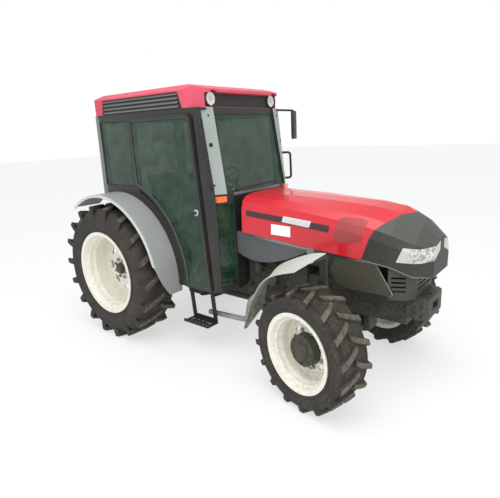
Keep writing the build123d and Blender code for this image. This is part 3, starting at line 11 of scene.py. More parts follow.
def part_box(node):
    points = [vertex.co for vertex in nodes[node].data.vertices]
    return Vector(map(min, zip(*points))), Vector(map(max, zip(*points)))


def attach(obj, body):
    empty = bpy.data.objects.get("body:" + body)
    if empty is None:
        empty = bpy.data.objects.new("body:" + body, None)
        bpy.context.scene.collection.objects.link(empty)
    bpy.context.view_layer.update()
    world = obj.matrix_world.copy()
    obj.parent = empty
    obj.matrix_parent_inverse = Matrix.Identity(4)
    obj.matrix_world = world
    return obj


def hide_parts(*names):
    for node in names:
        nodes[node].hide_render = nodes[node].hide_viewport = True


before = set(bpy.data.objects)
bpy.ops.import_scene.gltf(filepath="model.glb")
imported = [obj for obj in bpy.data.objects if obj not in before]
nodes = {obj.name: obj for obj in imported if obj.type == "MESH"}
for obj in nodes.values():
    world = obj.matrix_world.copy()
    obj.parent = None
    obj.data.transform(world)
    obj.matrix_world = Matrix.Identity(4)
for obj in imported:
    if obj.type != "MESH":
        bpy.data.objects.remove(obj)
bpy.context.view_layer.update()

# Driving dimensions in the frame of the solids, in metres and radians but for the lens in millimetres
rear_axle_x = -0.8925
rear_axle_z = 0.615787
rear_half_track = 0.593
front_axle_x = 1.2175
front_axle_z = 0.409807
front_half_track = 0.609
kingpin_y = 0.5
cab_middle = Vector((-0.35, 0, 1.4))
steer_angle = math.radians(12)
front_spin = (math.sin(steer_angle), math.cos(steer_angle), 0)
work_lamp = (0.2055, 0.367, 2.051)
work_lamp_radius = 0.049
fender_lip_y = 0.718
panel_split_x = 1.12
rear_post_x = -1.07
screen_foot = (0.28, 1.325)
hood_edge_slope = 0.0734
both_sides = ((1, "left"), (-1, "right"))
camera_spot = Vector((2.6175, -2.816, 1.799))
camera_yaw = 0.666
camera_pitch = 0.264
camera_roll = -0.04
camera_shift = (-0.0365, 0.001)
lens_mm = 31.44
sensor_mm = 36


def linear(red, green, blue):
    """A colour given as it looks on screen, 0 to 255, as the shader takes it."""
    def channel(value):
        value = value / 255
        if value <= 0.04045:
            return value / 12.92
        return ((value + 0.055) / 1.055) ** 2.4
    return (channel(red), channel(green), channel(blue), 1.0)


# Colours as they look in daylight
hood_red = linear(198, 12, 34)
roof_pink = linear(198, 66, 88)
fender_grey = linear(150, 153, 152)
post_grey = linear(112, 115, 113)
front_fender_grey = linear(192, 193, 186)
# Pale grey of the painted highlights on the rear fenders' lips and on the roof trim's upward faces
highlight_grey = linear(196, 200, 196)
panel_grey = linear(142, 152, 146)
edge_grey = linear(146, 152, 146)
# Paler tone painted on the nose's upward faces as a highlight
nose_top_highlight = linear(74, 74, 70)
lens_shade = linear(128, 130, 124)
grille_olive = linear(46, 45, 40)
trim_olive = linear(120, 117, 104)
# Dusty tan of the painted sunlit highlight on the lugs' tops
lug_top_highlight = linear(126, 116, 98)
olive = linear(66, 64, 52)
strip_grey = linear(74, 78, 82)
nose_black = linear(30, 31, 29)
cab_black = linear(25, 27, 28)
plastic_black = linear(26, 27, 27)
cast_grey = linear(58, 60, 54)
rim_white = linear(232, 229, 216)
rubber_black = linear(33, 32, 31)
dust_brown = linear(134, 118, 92)
mud_brown = linear(66, 60, 51)
glass_green = linear(22, 52, 38)
# Paler green of the painted sky reflection on the glass
reflection_green = linear(66, 104, 78)
bare_steel = linear(150, 150, 148)
cloth_black = linear(44, 45, 48)
amber = linear(240, 110, 40)
tail_red = linear(170, 24, 22)
fender_mud = linear(96, 82, 60)


def toned(colour, factor, lift=0.0):
    """A colour made paler or darker, held at white."""
    return tuple(min(1.0, value * factor + lift) for value in colour[:3]) + (1.0,)


class Graph:
    """A material's node tree, with short calls for the nodes that the materials share."""

    def __init__(self, name, material=None):
        self.material = material or bpy.data.materials.new(name)
        self.material.use_nodes = True
        self.tree = self.material.node_tree
        self.shader = self.tree.nodes["Principled BSDF"]
        self.place = self.tree.nodes.new("ShaderNodeNewGeometry")

    def link(self, source, target):
        self.tree.links.new(source, target)

    def node(self, kind, **values):
        """Adds a node and sets its sockets, with an underscore for a space in their names."""
        node = self.tree.nodes.new("ShaderNode" + kind)
        for name, value in values.items():
            node.inputs[name.replace("_", " ")].default_value = value
        return node

    def noise(self, scale, detail=3.0, roughness=0.55, distortion=0.0):
        """Noise over the object's own place, so it has the same size on every piece."""
        node = self.node("TexNoise", Scale=scale, Detail=detail, Roughness=roughness, Distortion=distortion)
        self.link(self.coordinates(), node.inputs["Vector"])
        return node.outputs["Fac"]

    def coordinates(self):
        if not hasattr(self, "texture_place"):
            self.texture_place = self.node("TexCoord")
        return self.texture_place.outputs["Object"]

    def ramp(self, value, low, high, start=0.0, end=1.0):
        """Maps a value between low and high onto start and end, held outside them."""
        node = self.node("MapRange", From_Min=low, From_Max=high, To_Min=start, To_Max=end)
        self.link(value, node.inputs["Value"])
        return node.outputs["Result"]

    def math(self, kind, first, second):
        """Adds or multiplies two values, each a number or a socket, and holds the result in 0 to 1."""
        node = self.node("Math")
        node.operation = kind
        node.use_clamp = True
        for socket, value in zip(node.inputs, (first, second)):
            if isinstance(value, (int, float)):
                socket.default_value = value
            else:
                self.link(value, socket)
        return node.outputs["Value"]

    def mix(self, share, first, second):
        """Mixes two colours; each is a colour or a socket."""
        node = self.node("Mix")
        node.data_type = "RGBA"
        self.link(share, node.inputs["Factor"])
        for name, value in (("A", first), ("B", second)):
            socket = [i for i in node.inputs if i.name == name and i.type == "RGBA"][0]
            if isinstance(value, tuple):
                socket.default_value = value
            else:
                self.link(value, socket)
        return [o for o in node.outputs if o.type == "RGBA"][0]

    def product(self, first, second):
        return self.math("MULTIPLY", first, second)

    def along(self, axis):
        """A point's place along one axis of the frame, in metres."""
        split = self.node("SeparateXYZ")
        self.link(self.coordinates(), split.inputs["Vector"])
        return split.outputs[axis]

    def vector(self, kind, first, second):
        """A vector sum of a socket and three numbers, of any kind that the node knows."""
        node = self.node("VectorMath")
        node.operation = kind
        self.link(first, node.inputs[0])
        node.inputs[1].default_value = second
        return node.outputs["Value" if kind == "DOT_PRODUCT" else "Vector"]

    def facing_up(self):
        """One where the surface faces the sky, nought where it faces sideways or down."""
        split = self.node("SeparateXYZ")
        self.link(self.place.outputs["Normal"], split.inputs["Vector"])
        return self.ramp(split.outputs["Z"], 0.15, 1.0)

    def bump(self, value, depth):
        node = self.node("Bump", Distance=depth)
        self.link(value, node.inputs["Height"])
        self.link(node.outputs["Normal"], self.shader.inputs["Normal"])

    def colour(self, value):
        self.link(value, self.shader.inputs["Base Color"])

    def roughness(self, value):
        self.link(value, self.shader.inputs["Roughness"])


def painted(name, colour, gloss=0.3, dust=0.25, fade=0.12, coat=0.0):
    """Paint with slow changes of tone, fine orange peel, and dust that lies low."""
    graph = Graph(name)
    slow = graph.noise(2.2, 4.0)
    fine = graph.noise(34.0, 5.0, 0.6)
    paler = toned(colour, 1.25, 0.02)
    tone = graph.mix(graph.ramp(slow, 0.35, 0.75, 0.0, fade * 4), colour, paler)
    low = graph.ramp(graph.along("Z"), 0.2, 1.25, 1.0, 0.18)
    cover = graph.product(graph.ramp(fine, 0.42, 0.78, 0.12, 1.0), graph.product(low, dust * 2))
    graph.colour(graph.mix(cover, tone, dust_brown))
    wear = graph.math("ADD", cover, graph.product(fine, 0.2))
    graph.roughness(graph.ramp(wear, 0.0, 0.8, gloss, 0.85))
    graph.shader.inputs["Coat Weight"].default_value = coat
    graph.shader.inputs["Coat Roughness"].default_value = 0.12
    graph.bump(graph.noise(190.0, 2.0), 0.0004)
    return graph.material


def moulded(name, colour, grain=0.0006, dust=0.2, gloss=0.5):
    """Moulded plastic: fine leather grain, tone that wanders a little, dust in patches."""
    graph = Graph(name)
    slow = graph.noise(5.0, 4.0)
    fine = graph.noise(60.0, 4.0, 0.65)
    paler = toned(colour, 1.7, 0.01)
    tone = graph.mix(graph.ramp(slow, 0.3, 0.8, 0.0, 0.55), colour, paler)
    low = graph.ramp(graph.along("Z"), 0.2, 1.5, 1.0, 0.2)
    cover = graph.product(graph.ramp(fine, 0.4, 0.8, 0.1, 1.0), graph.product(low, dust * 2))
    graph.colour(graph.mix(cover, tone, dust_brown))
    graph.roughness(graph.ramp(fine, 0.2, 0.9, gloss, min(1.0, gloss + 0.3)))
    graph.bump(graph.noise(420.0, 2.0, 0.7), grain)
    return graph.material


def cast(name, colour, oil=0.5, dust=0.35):
    """Cast or welded metal under old paint, with grime, oil stains and dry dust."""
    graph = Graph(name)
    slow = graph.noise(7.0, 5.0, 0.6, 0.6)
    fine = graph.noise(48.0, 5.0, 0.7)
    dark = toned(colour, 0.35)
    tone = graph.mix(graph.ramp(slow, 0.45, 0.7, 0.0, oil), colour, dark)
    cover = graph.product(graph.ramp(fine, 0.45, 0.75, 0.0, 1.0), dust)
    cover = graph.math("ADD", cover, graph.product(graph.facing_up(), 0.3 * dust))
    graph.colour(graph.mix(cover, tone, dust_brown))
    graph.roughness(graph.ramp(slow, 0.35, 0.75, 0.78, 0.42))
    graph.shader.inputs["Metallic"].default_value = 0.15
    graph.bump(graph.noise(150.0, 4.0, 0.7), 0.0012)
    return graph.material


def rubber(name):
    """Tyre rubber with dried mud in patches."""
    graph = Graph(name)
    slow = graph.noise(6.5, 5.0, 0.6, 0.4)
    fine = graph.noise(70.0, 5.0, 0.7)
    grey = graph.mix(graph.ramp(fine, 0.3, 0.8, 0.0, 0.35), rubber_black, linear(70, 66, 60))
    cover = graph.product(graph.ramp(slow, 0.4, 0.72, 0.05, 1.0), graph.ramp(fine, 0.3, 0.62, 0.3, 1.0))
    mud_tone = graph.mix(graph.ramp(fine, 0.35, 0.7), mud_brown, dust_brown)
    graph.colour(graph.mix(graph.product(cover, 0.42), grey, mud_tone))
    graph.roughness(graph.ramp(slow, 0.3, 0.8, 0.72, 0.95))
    graph.bump(graph.math("ADD", graph.product(fine, 0.6), graph.noise(300.0, 3.0)), 0.0016)
    return graph.material


def glazing(name, colour, clear=0.75, dust=0.2):
    """Tinted safety glass with a film of dust in patches."""
    graph = Graph(name)
    film = graph.noise(9.0, 5.0, 0.65)
    graph.shader.inputs["Transmission Weight"].default_value = 0.0
    graph.shader.inputs["IOR"].default_value = 1.5
    cover = graph.product(graph.ramp(film, 0.45, 0.85), dust)
    # Paler patches: a painted reflection of the sky's clouds on the glass
    sky_reflection = graph.ramp(graph.noise(5.5, 6.0, 0.75, 1.2), 0.42, 0.72, 0.0, 0.75)
    graph.colour(graph.mix(cover, graph.mix(sky_reflection, colour, reflection_green), dust_brown))
    graph.roughness(graph.ramp(film, 0.4, 0.9, 0.03, 0.2))
    alpha = graph.ramp(cover, 0.0, 0.4, 1.0 - clear, 1.0 - clear * 0.7)
    graph.link(alpha, graph.shader.inputs["Alpha"])
    return graph.material


def lens_glass(name, colour):
    """Lamp lens: clear plastic with painted glints of bright facets behind."""
    graph = Graph(name)
    facets = graph.noise(380.0, 1.0, 0.4)
    bright = toned(colour, 1.3)
    # Brighter facets mixed into the colour: painted glints of the reflector behind the lens
    graph.colour(graph.mix(graph.ramp(facets, 0.35, 0.65), colour, bright))
    graph.roughness(graph.ramp(facets, 0.3, 0.7, 0.05, 0.25))
    graph.shader.inputs["Coat Weight"].default_value = 0.8
    graph.shader.inputs["Specular IOR Level"].default_value = 0.8
    graph.bump(facets, 0.0015)
    return graph.material


def woven(name, colour):
    """Seat cloth: a fine weave with a sheen and slightly worn tone."""
    graph = Graph(name)
    weave = graph.node("TexWave", Scale=220.0, Distortion=1.5)
    graph.link(graph.coordinates(), weave.inputs["Vector"])
    slow = graph.noise(12.0, 4.0)
    worn = toned(colour, 2.2, 0.01)
    graph.colour(graph.mix(graph.ramp(slow, 0.35, 0.8, 0.0, 0.5), colour, worn))
    graph.shader.inputs["Roughness"].default_value = 0.92
    graph.shader.inputs["Sheen Weight"].default_value = 0.4
    graph.bump(weave.outputs["Fac"], 0.0008)
    return graph.material


def axle_distance(graph, centre, axis):
    """How far a point lies from the line through this centre, such as an axle or a lamp's middle line."""
    away = graph.vector("SUBTRACT", graph.coordinates(), centre)
    length = graph.node("VectorMath")
    length.operation = "LENGTH"
    graph.link(graph.vector("CROSS_PRODUCT", away, Vector(axis).normalized()), length.inputs[0])
    return length.outputs["Value"]


def along_axle(graph, hub):
    """How far a point lies from the middle of a front wheel, along its axle."""
    return graph.vector("DOT_PRODUCT", graph.vector("SUBTRACT", graph.coordinates(), hub), front_spin)


def slanted_height(graph, slope):
    """A point's height over a line that falls by this slope toward the nose."""
    node = graph.node("Math")
    node.operation = "MULTIPLY_ADD"
    graph.link(graph.along("X"), node.inputs[0])
    node.inputs[1].default_value = slope
    graph.link(graph.along("Z"), node.inputs[2])
    return node.outputs["Value"]


def squared_half_width(graph):
    """The square of how far a point lies from the tractor's middle plane."""
    across = graph.along("Y")
    return graph.product(across, across)


def overlay(material, share_of, colour):
    """Lays another colour over a finished material, by the share that share_of(graph) gives."""
    graph = Graph(material.name, material)
    under = graph.shader.inputs["Base Color"].links[0].from_socket
    graph.colour(graph.mix(share_of(graph), under, colour))
    return material


# Materials of the solids
paint_hood = painted("paint_hood", hood_red, gloss=0.24, dust=0.05, fade=0.03, coat=0.45)
paint_roof = painted("paint_roof", roof_pink, gloss=0.45, dust=0.1, fade=0.2)
paint_grey = painted("paint_grey", fender_grey, gloss=0.38, dust=0.3, fade=0.1)
paint_panel = painted("paint_panel", panel_grey, gloss=0.4, dust=0.15)
paint_strip = painted("paint_strip", strip_grey, gloss=0.42, dust=0.25)
paint_cab, paint_cab_ends, paint_screen_frame = [
    painted(name, cab_black, gloss=0.32, dust=0.12)
    for name in ("paint_cab", "paint_cab_ends", "paint_screen_frame")]
paint_rim = painted("paint_rim", rim_white, gloss=0.35, dust=0.16, fade=0.03)
plastic_nose = moulded("plastic_nose", nose_black, grain=0.0005, dust=0.12, gloss=0.42)
plastic_grille = moulded("plastic_grille", grille_olive, grain=0.0005, dust=0.12, gloss=0.42)
plastic_dark = moulded("plastic_dark", plastic_black, dust=0.12)
plastic_trim = moulded("plastic_trim", plastic_black, dust=0.12)
cast_dark = cast("cast_dark", cast_grey)
metal_black = cast("metal_black", cab_black, oil=0.3, dust=0.25)
metal_steel = cast("metal_steel", bare_steel, oil=0.6, dust=0.3)
cab_glass = glazing("cab_glass", glass_green, clear=0.4)
lamp_lens = lens_glass("lamp_lens", linear(178, 176, 166))
cab_lens = lens_glass("cab_lens", linear(206, 206, 200))
seat_weave = woven("seat_weave", cloth_black)

# Materials of the fine pieces
# Pale grey of the tubes round the door seals, a painted highlight
seal_highlight_grey = moulded("seal_highlight_grey", linear(112, 118, 113), grain=0.0003, dust=0.1)
band_paint = painted("band_paint", rim_white, gloss=0.35, dust=0.3, fade=0.03)
lip_plastic = moulded("lip_plastic", linear(92, 90, 84), dust=0.1)
panel_trim = painted("panel_trim", trim_olive, gloss=0.5, dust=0.2)
mesh_red = moulded("mesh_red", linear(150, 56, 56), grain=0.0006, dust=0.1, gloss=0.5)
decal_dark = painted("decal_dark", linear(60, 34, 36), gloss=0.3, dust=0.05)
decal_silver = painted("decal_silver", linear(206, 204, 204), gloss=0.3, dust=0.05)
plate_white = painted("plate_white", linear(240, 236, 238), gloss=0.4, dust=0.04)
seal_rubber = moulded("seal_rubber", linear(22, 23, 23), grain=0.0003, dust=0.1, gloss=0.6)
metal_pale = cast("metal_pale", linear(190, 192, 188), oil=0.1, dust=0.05)
mirror_silver = cast("mirror_silver", linear(200, 205, 208), oil=0.0, dust=0.02)
mirror_silver.node_tree.nodes["Principled BSDF"].inputs["Metallic"].default_value = 0.95

node_materials = {
    paint_hood: ["hood"],
    paint_roof: ["roof"],
    mesh_red: ["hood_grilles"],
    paint_grey: ["rear_fenders"],
    paint_panel: ["corner_panels"],
    paint_strip: ["side_panels"],
    paint_cab: ["corner_posts", "door_left", "door_right"],
    paint_cab_ends: ["cab_sides", "cab_rear"],
    paint_screen_frame: ["cab_front"],
    plastic_trim: ["roof_trim"],
    paint_rim: ["rear_rim_left", "rear_rim_right"],
    plastic_nose: ["nose"],
    plastic_grille: ["lower_grille"],
    plastic_dark: ["cab_floor", "wheel_houses", "dashboard", "steering_wheel", "mirrors", "seat_base"],
    cast_dark: ["transmission", "engine", "front_support", "front_axle", "knuckle_left", "knuckle_right",
                "drive_shaft"],
    metal_black: ["radiator", "steps", "hitch_frame", "lower_links", "lift_arms", "lift_rods", "handrails"],
    metal_steel: ["steering_rod", "exhaust"],
    cab_glass: ["windows", "door_glass_left", "door_glass_right"],
    lamp_lens: ["headlamps"],
    cab_lens: ["lamps"],
    seat_weave: ["seat"],
}


def rubber_with_lug_highlight(name, centre, axis, least, most, tops):
    """A tyre's own rubber, with a painted sunlit highlight in a dusty tan on its lugs' tops, which lie between
    two distances.
    """
    return overlay(rubber(name), lambda graph: graph.product(
        graph.ramp(graph.noise(30.0, 5.0, 0.7), 0.35, 0.7, least, most),
        graph.ramp(axle_distance(graph, centre, axis), *tops)), lug_top_highlight)


def dark_hub_rim(name, hub):
    """A front rim's paint, dark where the hub's bare cap begins."""
    material = painted(name, rim_white, gloss=0.35, dust=0.2, fade=0.03)
    return overlay(material, lambda graph: graph.ramp(
        axle_distance(graph, hub, front_spin), 0.1135, 0.1125), cast_grey)


def muddy_fender(name, hub, side):
    """A front fender's paint, with mud low down and a dark bracket inside the wheel."""
    material = painted(name, front_fender_grey, gloss=0.5, dust=0.3, fade=0.1)
    overlay(material, lambda graph: graph.product(
        graph.ramp(graph.noise(22.0, 5.0, 0.7), 0.3, 0.6),
        graph.ramp(graph.along("Z"), 0.86, 0.6, 0.05, 0.85)), fender_mud)
    return overlay(material, lambda graph: graph.ramp(
        along_axle(graph, hub), -side * 0.046, -side * 0.05), cast_grey)


tyre_rubber = {}
for side, word in both_sides:
    arm = front_half_track - kingpin_y
    hub = (front_axle_x + side * arm * math.sin(steer_angle),
           side * (kingpin_y + arm * math.cos(steer_angle)), front_axle_z)
    tyre_rubber[f"rear_tyre_{word}"] = rubber_with_lug_highlight(
        f"rubber_rear_{word}", (rear_axle_x, 0, rear_axle_z), (0, 1, 0), 0.1, 0.7, (0.6, 0.608))
    tyre_rubber[f"front_tyre_{word}"] = rubber_with_lug_highlight(
        f"rubber_front_{word}", hub, front_spin, 0.15, 0.8, (0.396, 0.403))
    node_materials[dark_hub_rim(f"paint_front_rim_{word}", hub)] = [f"front_rim_{word}"]
    node_materials[muddy_fender(f"paint_front_fender_{word}", hub, side)] = [f"front_fender_{word}"]
for name, material in tyre_rubber.items():
    node_materials[material] = [name]

# Second colours laid over parts of a piece: painted highlights on the rear fenders' lips and on the upward
# faces of the nose and the roof trim, and edges, posts, lamp rings and lenses
# The rear fenders' outer lips paler: a painted highlight on the rolled edge
overlay(paint_grey, lambda graph: graph.ramp(
    squared_half_width(graph), fender_lip_y ** 2, (fender_lip_y + 0.005) ** 2), highlight_grey)
overlay(paint_strip, lambda graph: graph.ramp(graph.along("X"), panel_split_x, panel_split_x + 0.002), olive)
overlay(paint_strip, lambda graph: graph.product(
    graph.ramp(slanted_height(graph, hood_edge_slope), 1.044, 1.049),
    graph.ramp(graph.along("X"), 0.48, 0.7)), edge_grey)
# The nose's upward faces paler: a painted highlight from the sky
overlay(plastic_nose, lambda graph: graph.ramp(graph.facing_up(), 0.1, 0.75), nose_top_highlight)
overlay(paint_cab_ends, lambda graph: graph.ramp(
    graph.along("X"), rear_post_x, rear_post_x - 0.015), post_grey)
overlay(paint_screen_frame, lambda graph: graph.product(
    graph.ramp(graph.along("X"), screen_foot[0], screen_foot[0] + 0.02),
    graph.ramp(graph.along("Z"), screen_foot[1], screen_foot[1] + 0.01)), post_grey)
# The roof trim's upward faces paler: a painted highlight on its slats
overlay(plastic_trim, lambda graph: graph.ramp(graph.facing_up(), 0.3, 0.8, 0.0, 0.8), highlight_grey)
overlay(lamp_lens, lambda graph: graph.product(
    graph.ramp(graph.noise(60.0, 1.0), 0.46, 0.58), graph.ramp(graph.along("X"), 1.68, 1.74)), lens_shade)
overlay(cab_lens, lambda graph: graph.ramp(graph.along("Z"), 1.5, 1.45), amber)
for side in (1, -1):
    line = (0, side * work_lamp[1], work_lamp[2])
    overlay(cab_lens, lambda graph: graph.product(
        graph.ramp(axle_distance(graph, line, (1, 0, 0)), work_lamp_radius, work_lamp_radius + 0.0005),
        graph.ramp(axle_distance(graph, line, (1, 0, 0)), 0.08, 0.07)), plastic_black)
overlay(cab_lens, lambda graph: graph.ramp(graph.along("X"), -0.9, -1.0), tail_red)
for material, names in node_materials.items():
    for name in names:
        nodes[name].data.materials.clear()
        nodes[name].data.materials.append(material)


def shown(name, data):
    """Puts a mesh, curve, light or camera into the scene."""
    thing = bpy.data.objects.new(name, data)
    bpy.context.scene.collection.objects.link(thing)
    return thing


def evaluated_mesh(piece):
    """A new mesh of what a piece looks like with its curve or modifiers worked out."""
    bpy.context.view_layer.update()
    return bpy.data.meshes.new_from_object(piece.evaluated_get(bpy.context.evaluated_depsgraph_get()))


def linked(name, mesh, material, body="chassis", sharp=35):
    """Puts a finished mesh into the scene, smooth but for its sharp edges, riding on a body."""
    mesh.materials.append(material)
    mesh.polygons.foreach_set("use_smooth", [True] * len(mesh.polygons))
    mesh.set_sharp_from_angle(angle=math.radians(sharp))
    piece = shown(name, mesh)
    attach(piece, body)
    return piece


def made(name, bm, material, body="chassis", sharp=35):
    """Turns a closed bmesh into a piece."""
    bmesh.ops.recalc_face_normals(bm, faces=bm.faces)
    mesh = bpy.data.meshes.new(name)
    bm.to_mesh(mesh)
    bm.free()
    return linked(name, mesh, material, body, sharp)


def loft(bm, rings, capped=True):
    """Skins a row of rings that have as many points each, with or without its two ends."""
    for near, far in zip(rings, rings[1:]):
        for i in range(len(near)):
            after = (i + 1) % len(near)
            bm.faces.new((near[i], near[after], far[after], far[i]))
    if capped:
        bm.faces.new(rings[0][::-1])
        bm.faces.new(rings[-1])


def block(bm, low, high, edge=0.003, turn=None):
    """A block between two corners, with rounded edges, turned about its middle if asked."""
    middle = (Vector(low) + Vector(high)) / 2
    size = Vector(high) - Vector(low)
    verts = bmesh.ops.create_cube(bm, size=1.0)["verts"]
    for vert in verts:
        corner = Vector((vert.co.x * size.x, vert.co.y * size.y, vert.co.z * size.z))
        if turn is not None:
            corner = turn @ corner
        vert.co = middle + corner
    if edge:
        edges = list({e for vert in verts for e in vert.link_edges})
        bmesh.ops.bevel(bm, geom=edges, offset=edge, segments=2, affect="EDGES", profile=0.5)


def turned(bm, spot, axis, profile, sides=24, hollow=False):
    """A lathe-turned form: profile lists how far along the axis and how far out; a hollow one is a ring."""
    axis = Vector(axis).normalized()
    across = axis.orthogonal().normalized()
    other = axis.cross(across)
    rings = []
    for along, radius in profile:
        ring = []
        for k in range(sides):
            angle = math.tau * k / sides
            way = across * math.cos(angle) + other * math.sin(angle)
            ring.append(bm.verts.new(Vector(spot) + axis * along + way * radius))
        rings.append(ring)
    if hollow:
        rings.append(rings[0])
    loft(bm, rings, not hollow)


def rod(bm, start, end, radius, sides=16):
    """A round bar between two points, with broken edges at its ends."""
    way = Vector(end) - Vector(start)
    chamfer = min(radius * 0.25, way.length * 0.2)
    turned(bm, start, way, [(0, radius - chamfer), (chamfer, radius), (way.length - chamfer, radius),
                            (way.length, radius - chamfer)], sides)


def bolt(bm, spot, axis, size):
    """A washer and a six-sided head, as high as such heads are for their size across."""
    washer = [(-0.001, 0.72 * size), (0.1 * size, 0.72 * size), (0.12 * size, 0.68 * size)]
    head = [(0.1 * size, 0.55 * size), (0.62 * size, 0.55 * size), (0.74 * size, 0.44 * size)]
    turned(bm, spot, axis, washer, 20)
    turned(bm, spot, axis, head, 6)


def pipe(name, points, radius, material, body="chassis", closed=False, smooth=True):
    """A bent pipe, seal or bar along points."""
    curve = bpy.data.curves.new(name + "_run", "CURVE")
    curve.dimensions = "3D"
    curve.bevel_depth = radius
    curve.bevel_resolution = 3
    curve.resolution_u = 8
    curve.use_fill_caps = True
    spline = curve.splines.new("NURBS" if smooth else "POLY")
    spline.points.add(len(points) - 1)
    for point, place in zip(spline.points, points):
        point.co = (*place, 1)
    spline.use_cyclic_u = closed
    if smooth:
        spline.order_u = 3
        spline.use_endpoint_u = not closed
    carrier = shown(name + "_run", curve)
    mesh = evaluated_mesh(carrier)
    bpy.data.objects.remove(carrier)
    bpy.data.curves.remove(curve)
    mesh.name = name
    mesh.materials.clear()
    return linked(name, mesh, material, body, 50)


def surface_of(*names):
    """The faces of CAD nodes, to seat pieces on."""
    points = []
    faces = []
    for name in names:
        mesh = nodes[name].data
        first = len(points)
        points += [vert.co.copy() for vert in mesh.vertices]
        faces += [[first + index for index in face.vertices] for face in mesh.polygons]
    return BVHTree.FromPolygons(points, faces)


def seated(surface, start, way):
    """Where a line first meets a surface, and the way out of it there."""
    spot, normal, _, _ = surface.ray_cast(Vector(start), Vector(way).normalized())
    if normal.dot(Vector(way)) > 0:
        normal = -normal
    return spot, normal


def patch(bm, surface, corners, side, thick, round_by):
    """A thin sheet laid on a surface: its four corners are (x, z), seen from the tractor's side."""
    first, second, third, fourth = [Vector(corner) for corner in corners]
    across, down = 24, 16
    upper = []
    lower = []
    for j in range(down + 1):
        outer_row = []
        inner_row = []
        near_end = min(j, down - j) / down
        inset = 0
        if near_end < round_by:
            inset = round_by * 0.8 * (1 - math.sqrt(1 - (1 - near_end / round_by) ** 2))
        for i in range(across + 1):
            share = inset + (1 - 2 * inset) * i / across
            top = first.lerp(second, share)
            bottom = fourth.lerp(third, share)
            x, z = top.lerp(bottom, j / down)
            spot, normal = seated(surface, (x, side, z), (0, -side, 0))
            outer_row.append(bm.verts.new(spot + normal * thick))
            inner_row.append(bm.verts.new(spot - normal * 0.0004))
        upper.append(outer_row)
        lower.append(inner_row)
    for j in range(down):
        for i in range(across):
            for sheet in (upper, lower):
                bm.faces.new((sheet[j][i], sheet[j][i + 1], sheet[j + 1][i + 1], sheet[j + 1][i]))
    rim = [(0, i) for i in range(across)] + [(j, across) for j in range(down)]
    rim += [(down, i) for i in range(across, 0, -1)] + [(j, 0) for j in range(down, 0, -1)]
    for (j, i), (next_j, next_i) in zip(rim, rim[1:] + rim[:1]):
        bm.faces.new((upper[j][i], upper[next_j][next_i], lower[next_j][next_i], lower[j][i]))


def photo_camera():
    """The photograph's own viewpoint: a little above the hood, off the tractor's right front corner."""
    data = bpy.data.cameras.new("photo_camera")
    data.sensor_width = sensor_mm
    data.lens = lens_mm
    data.shift_x, data.shift_y = camera_shift
    ahead = math.cos(camera_pitch)
    forward = Vector((-math.sin(camera_yaw) * ahead, math.cos(camera_yaw) * ahead, -math.sin(camera_pitch)))
    level = Vector((math.cos(camera_yaw), math.sin(camera_yaw), 0))
    upward = level.cross(forward)
    right = math.cos(camera_roll) * level + math.sin(camera_roll) * upward
    up = -math.sin(camera_roll) * level + math.cos(camera_roll) * upward
    camera = shown("photo_camera", data)
    turn = Matrix((right, up, -forward)).transposed()
    camera.matrix_world = Matrix.Translation(camera_spot) @ turn.to_4x4()
    bpy.context.scene.camera = camera


def area_light(name, spot, target, size, power):
    data = bpy.data.lights.new(name, "AREA")
    data.size = size
    data.energy = power
    aim = (Vector(target) - Vector(spot)).to_track_quat("-Z", "Y")
    shown(name, data).matrix_world = Matrix.Translation(spot) @ aim.to_matrix().to_4x4()


def seen_share(tree):
    """One for rays that carry the backdrop straight to the eye, also off metal or through glass."""
    path = tree.nodes.new("ShaderNodeLightPath")
    total = path.outputs["Is Camera Ray"]
    for name in ("Is Glossy Ray", "Is Transmission Ray"):
        node = tree.nodes.new("ShaderNodeMath")
        node.operation = "MAXIMUM"
        tree.links.new(total, node.inputs[0])
        tree.links.new(path.outputs[name], node.inputs[1])
        total = node.outputs[0]
    return total


def blended(tree, share, first, second, output):
    """Sends two shaders to the output, the second by this share."""
    blend = tree.nodes.new("ShaderNodeMixShader")
    for socket, source in zip(blend.inputs, (share, first.outputs[0], second.outputs[0])):
        tree.links.new(source, socket)
    tree.links.new(blend.outputs[0], tree.nodes[output].inputs["Surface"])


def studio():
    """A plain pale floor under a bright even sky, as on an overcast day."""
    mesh = bpy.data.meshes.new("floor")
    reach = 40
    corners = [(-reach, -reach, 0), (reach, -reach, 0), (reach, reach, 0), (-reach, reach, 0)]
    mesh.from_pydata(corners, [], [(0, 1, 2, 3)])
    floor = shown("floor", mesh)
    floor.location.z = -0.0015
    graph = Graph("floor_paint")
    graph.colour(graph.mix(graph.noise(3.0), (0.86, 0.86, 0.86, 1), (0.9, 0.9, 0.9, 1)))
    graph.shader.inputs["Roughness"].default_value = 0.9
    glow = graph.node("Emission", Color=(1, 1, 1, 1))
    seen = graph.product(seen_share(graph.tree), 0.6)
    blended(graph.tree, seen, graph.shader, glow, "Material Output")
    mesh.materials.append(graph.material)
    world = bpy.data.worlds.new("sky")
    world.use_nodes = True
    tree = world.node_tree
    sky = tree.nodes["Background"]
    sky.inputs["Color"].default_value = (0.95, 0.98, 1.0, 1)
    sky.inputs["Strength"].default_value = 0.95
    white = tree.nodes.new("ShaderNodeBackground")
    white.inputs["Color"].default_value = (1, 1, 1, 1)
    blended(tree, seen_share(tree), sky, white, "World Output")
    bpy.context.scene.world = world
    area_light("sky_softbox", (1.5, -2.5, 5.5), (0.2, 0, 0.8), 5.0, 190)
    area_light("front_fill", (6.0, -3.0, 2.5), (0.8, 0, 0.8), 3.5, 60)


bpy.context.scene.view_settings.view_transform = "Standard"
photo_camera()
studio()


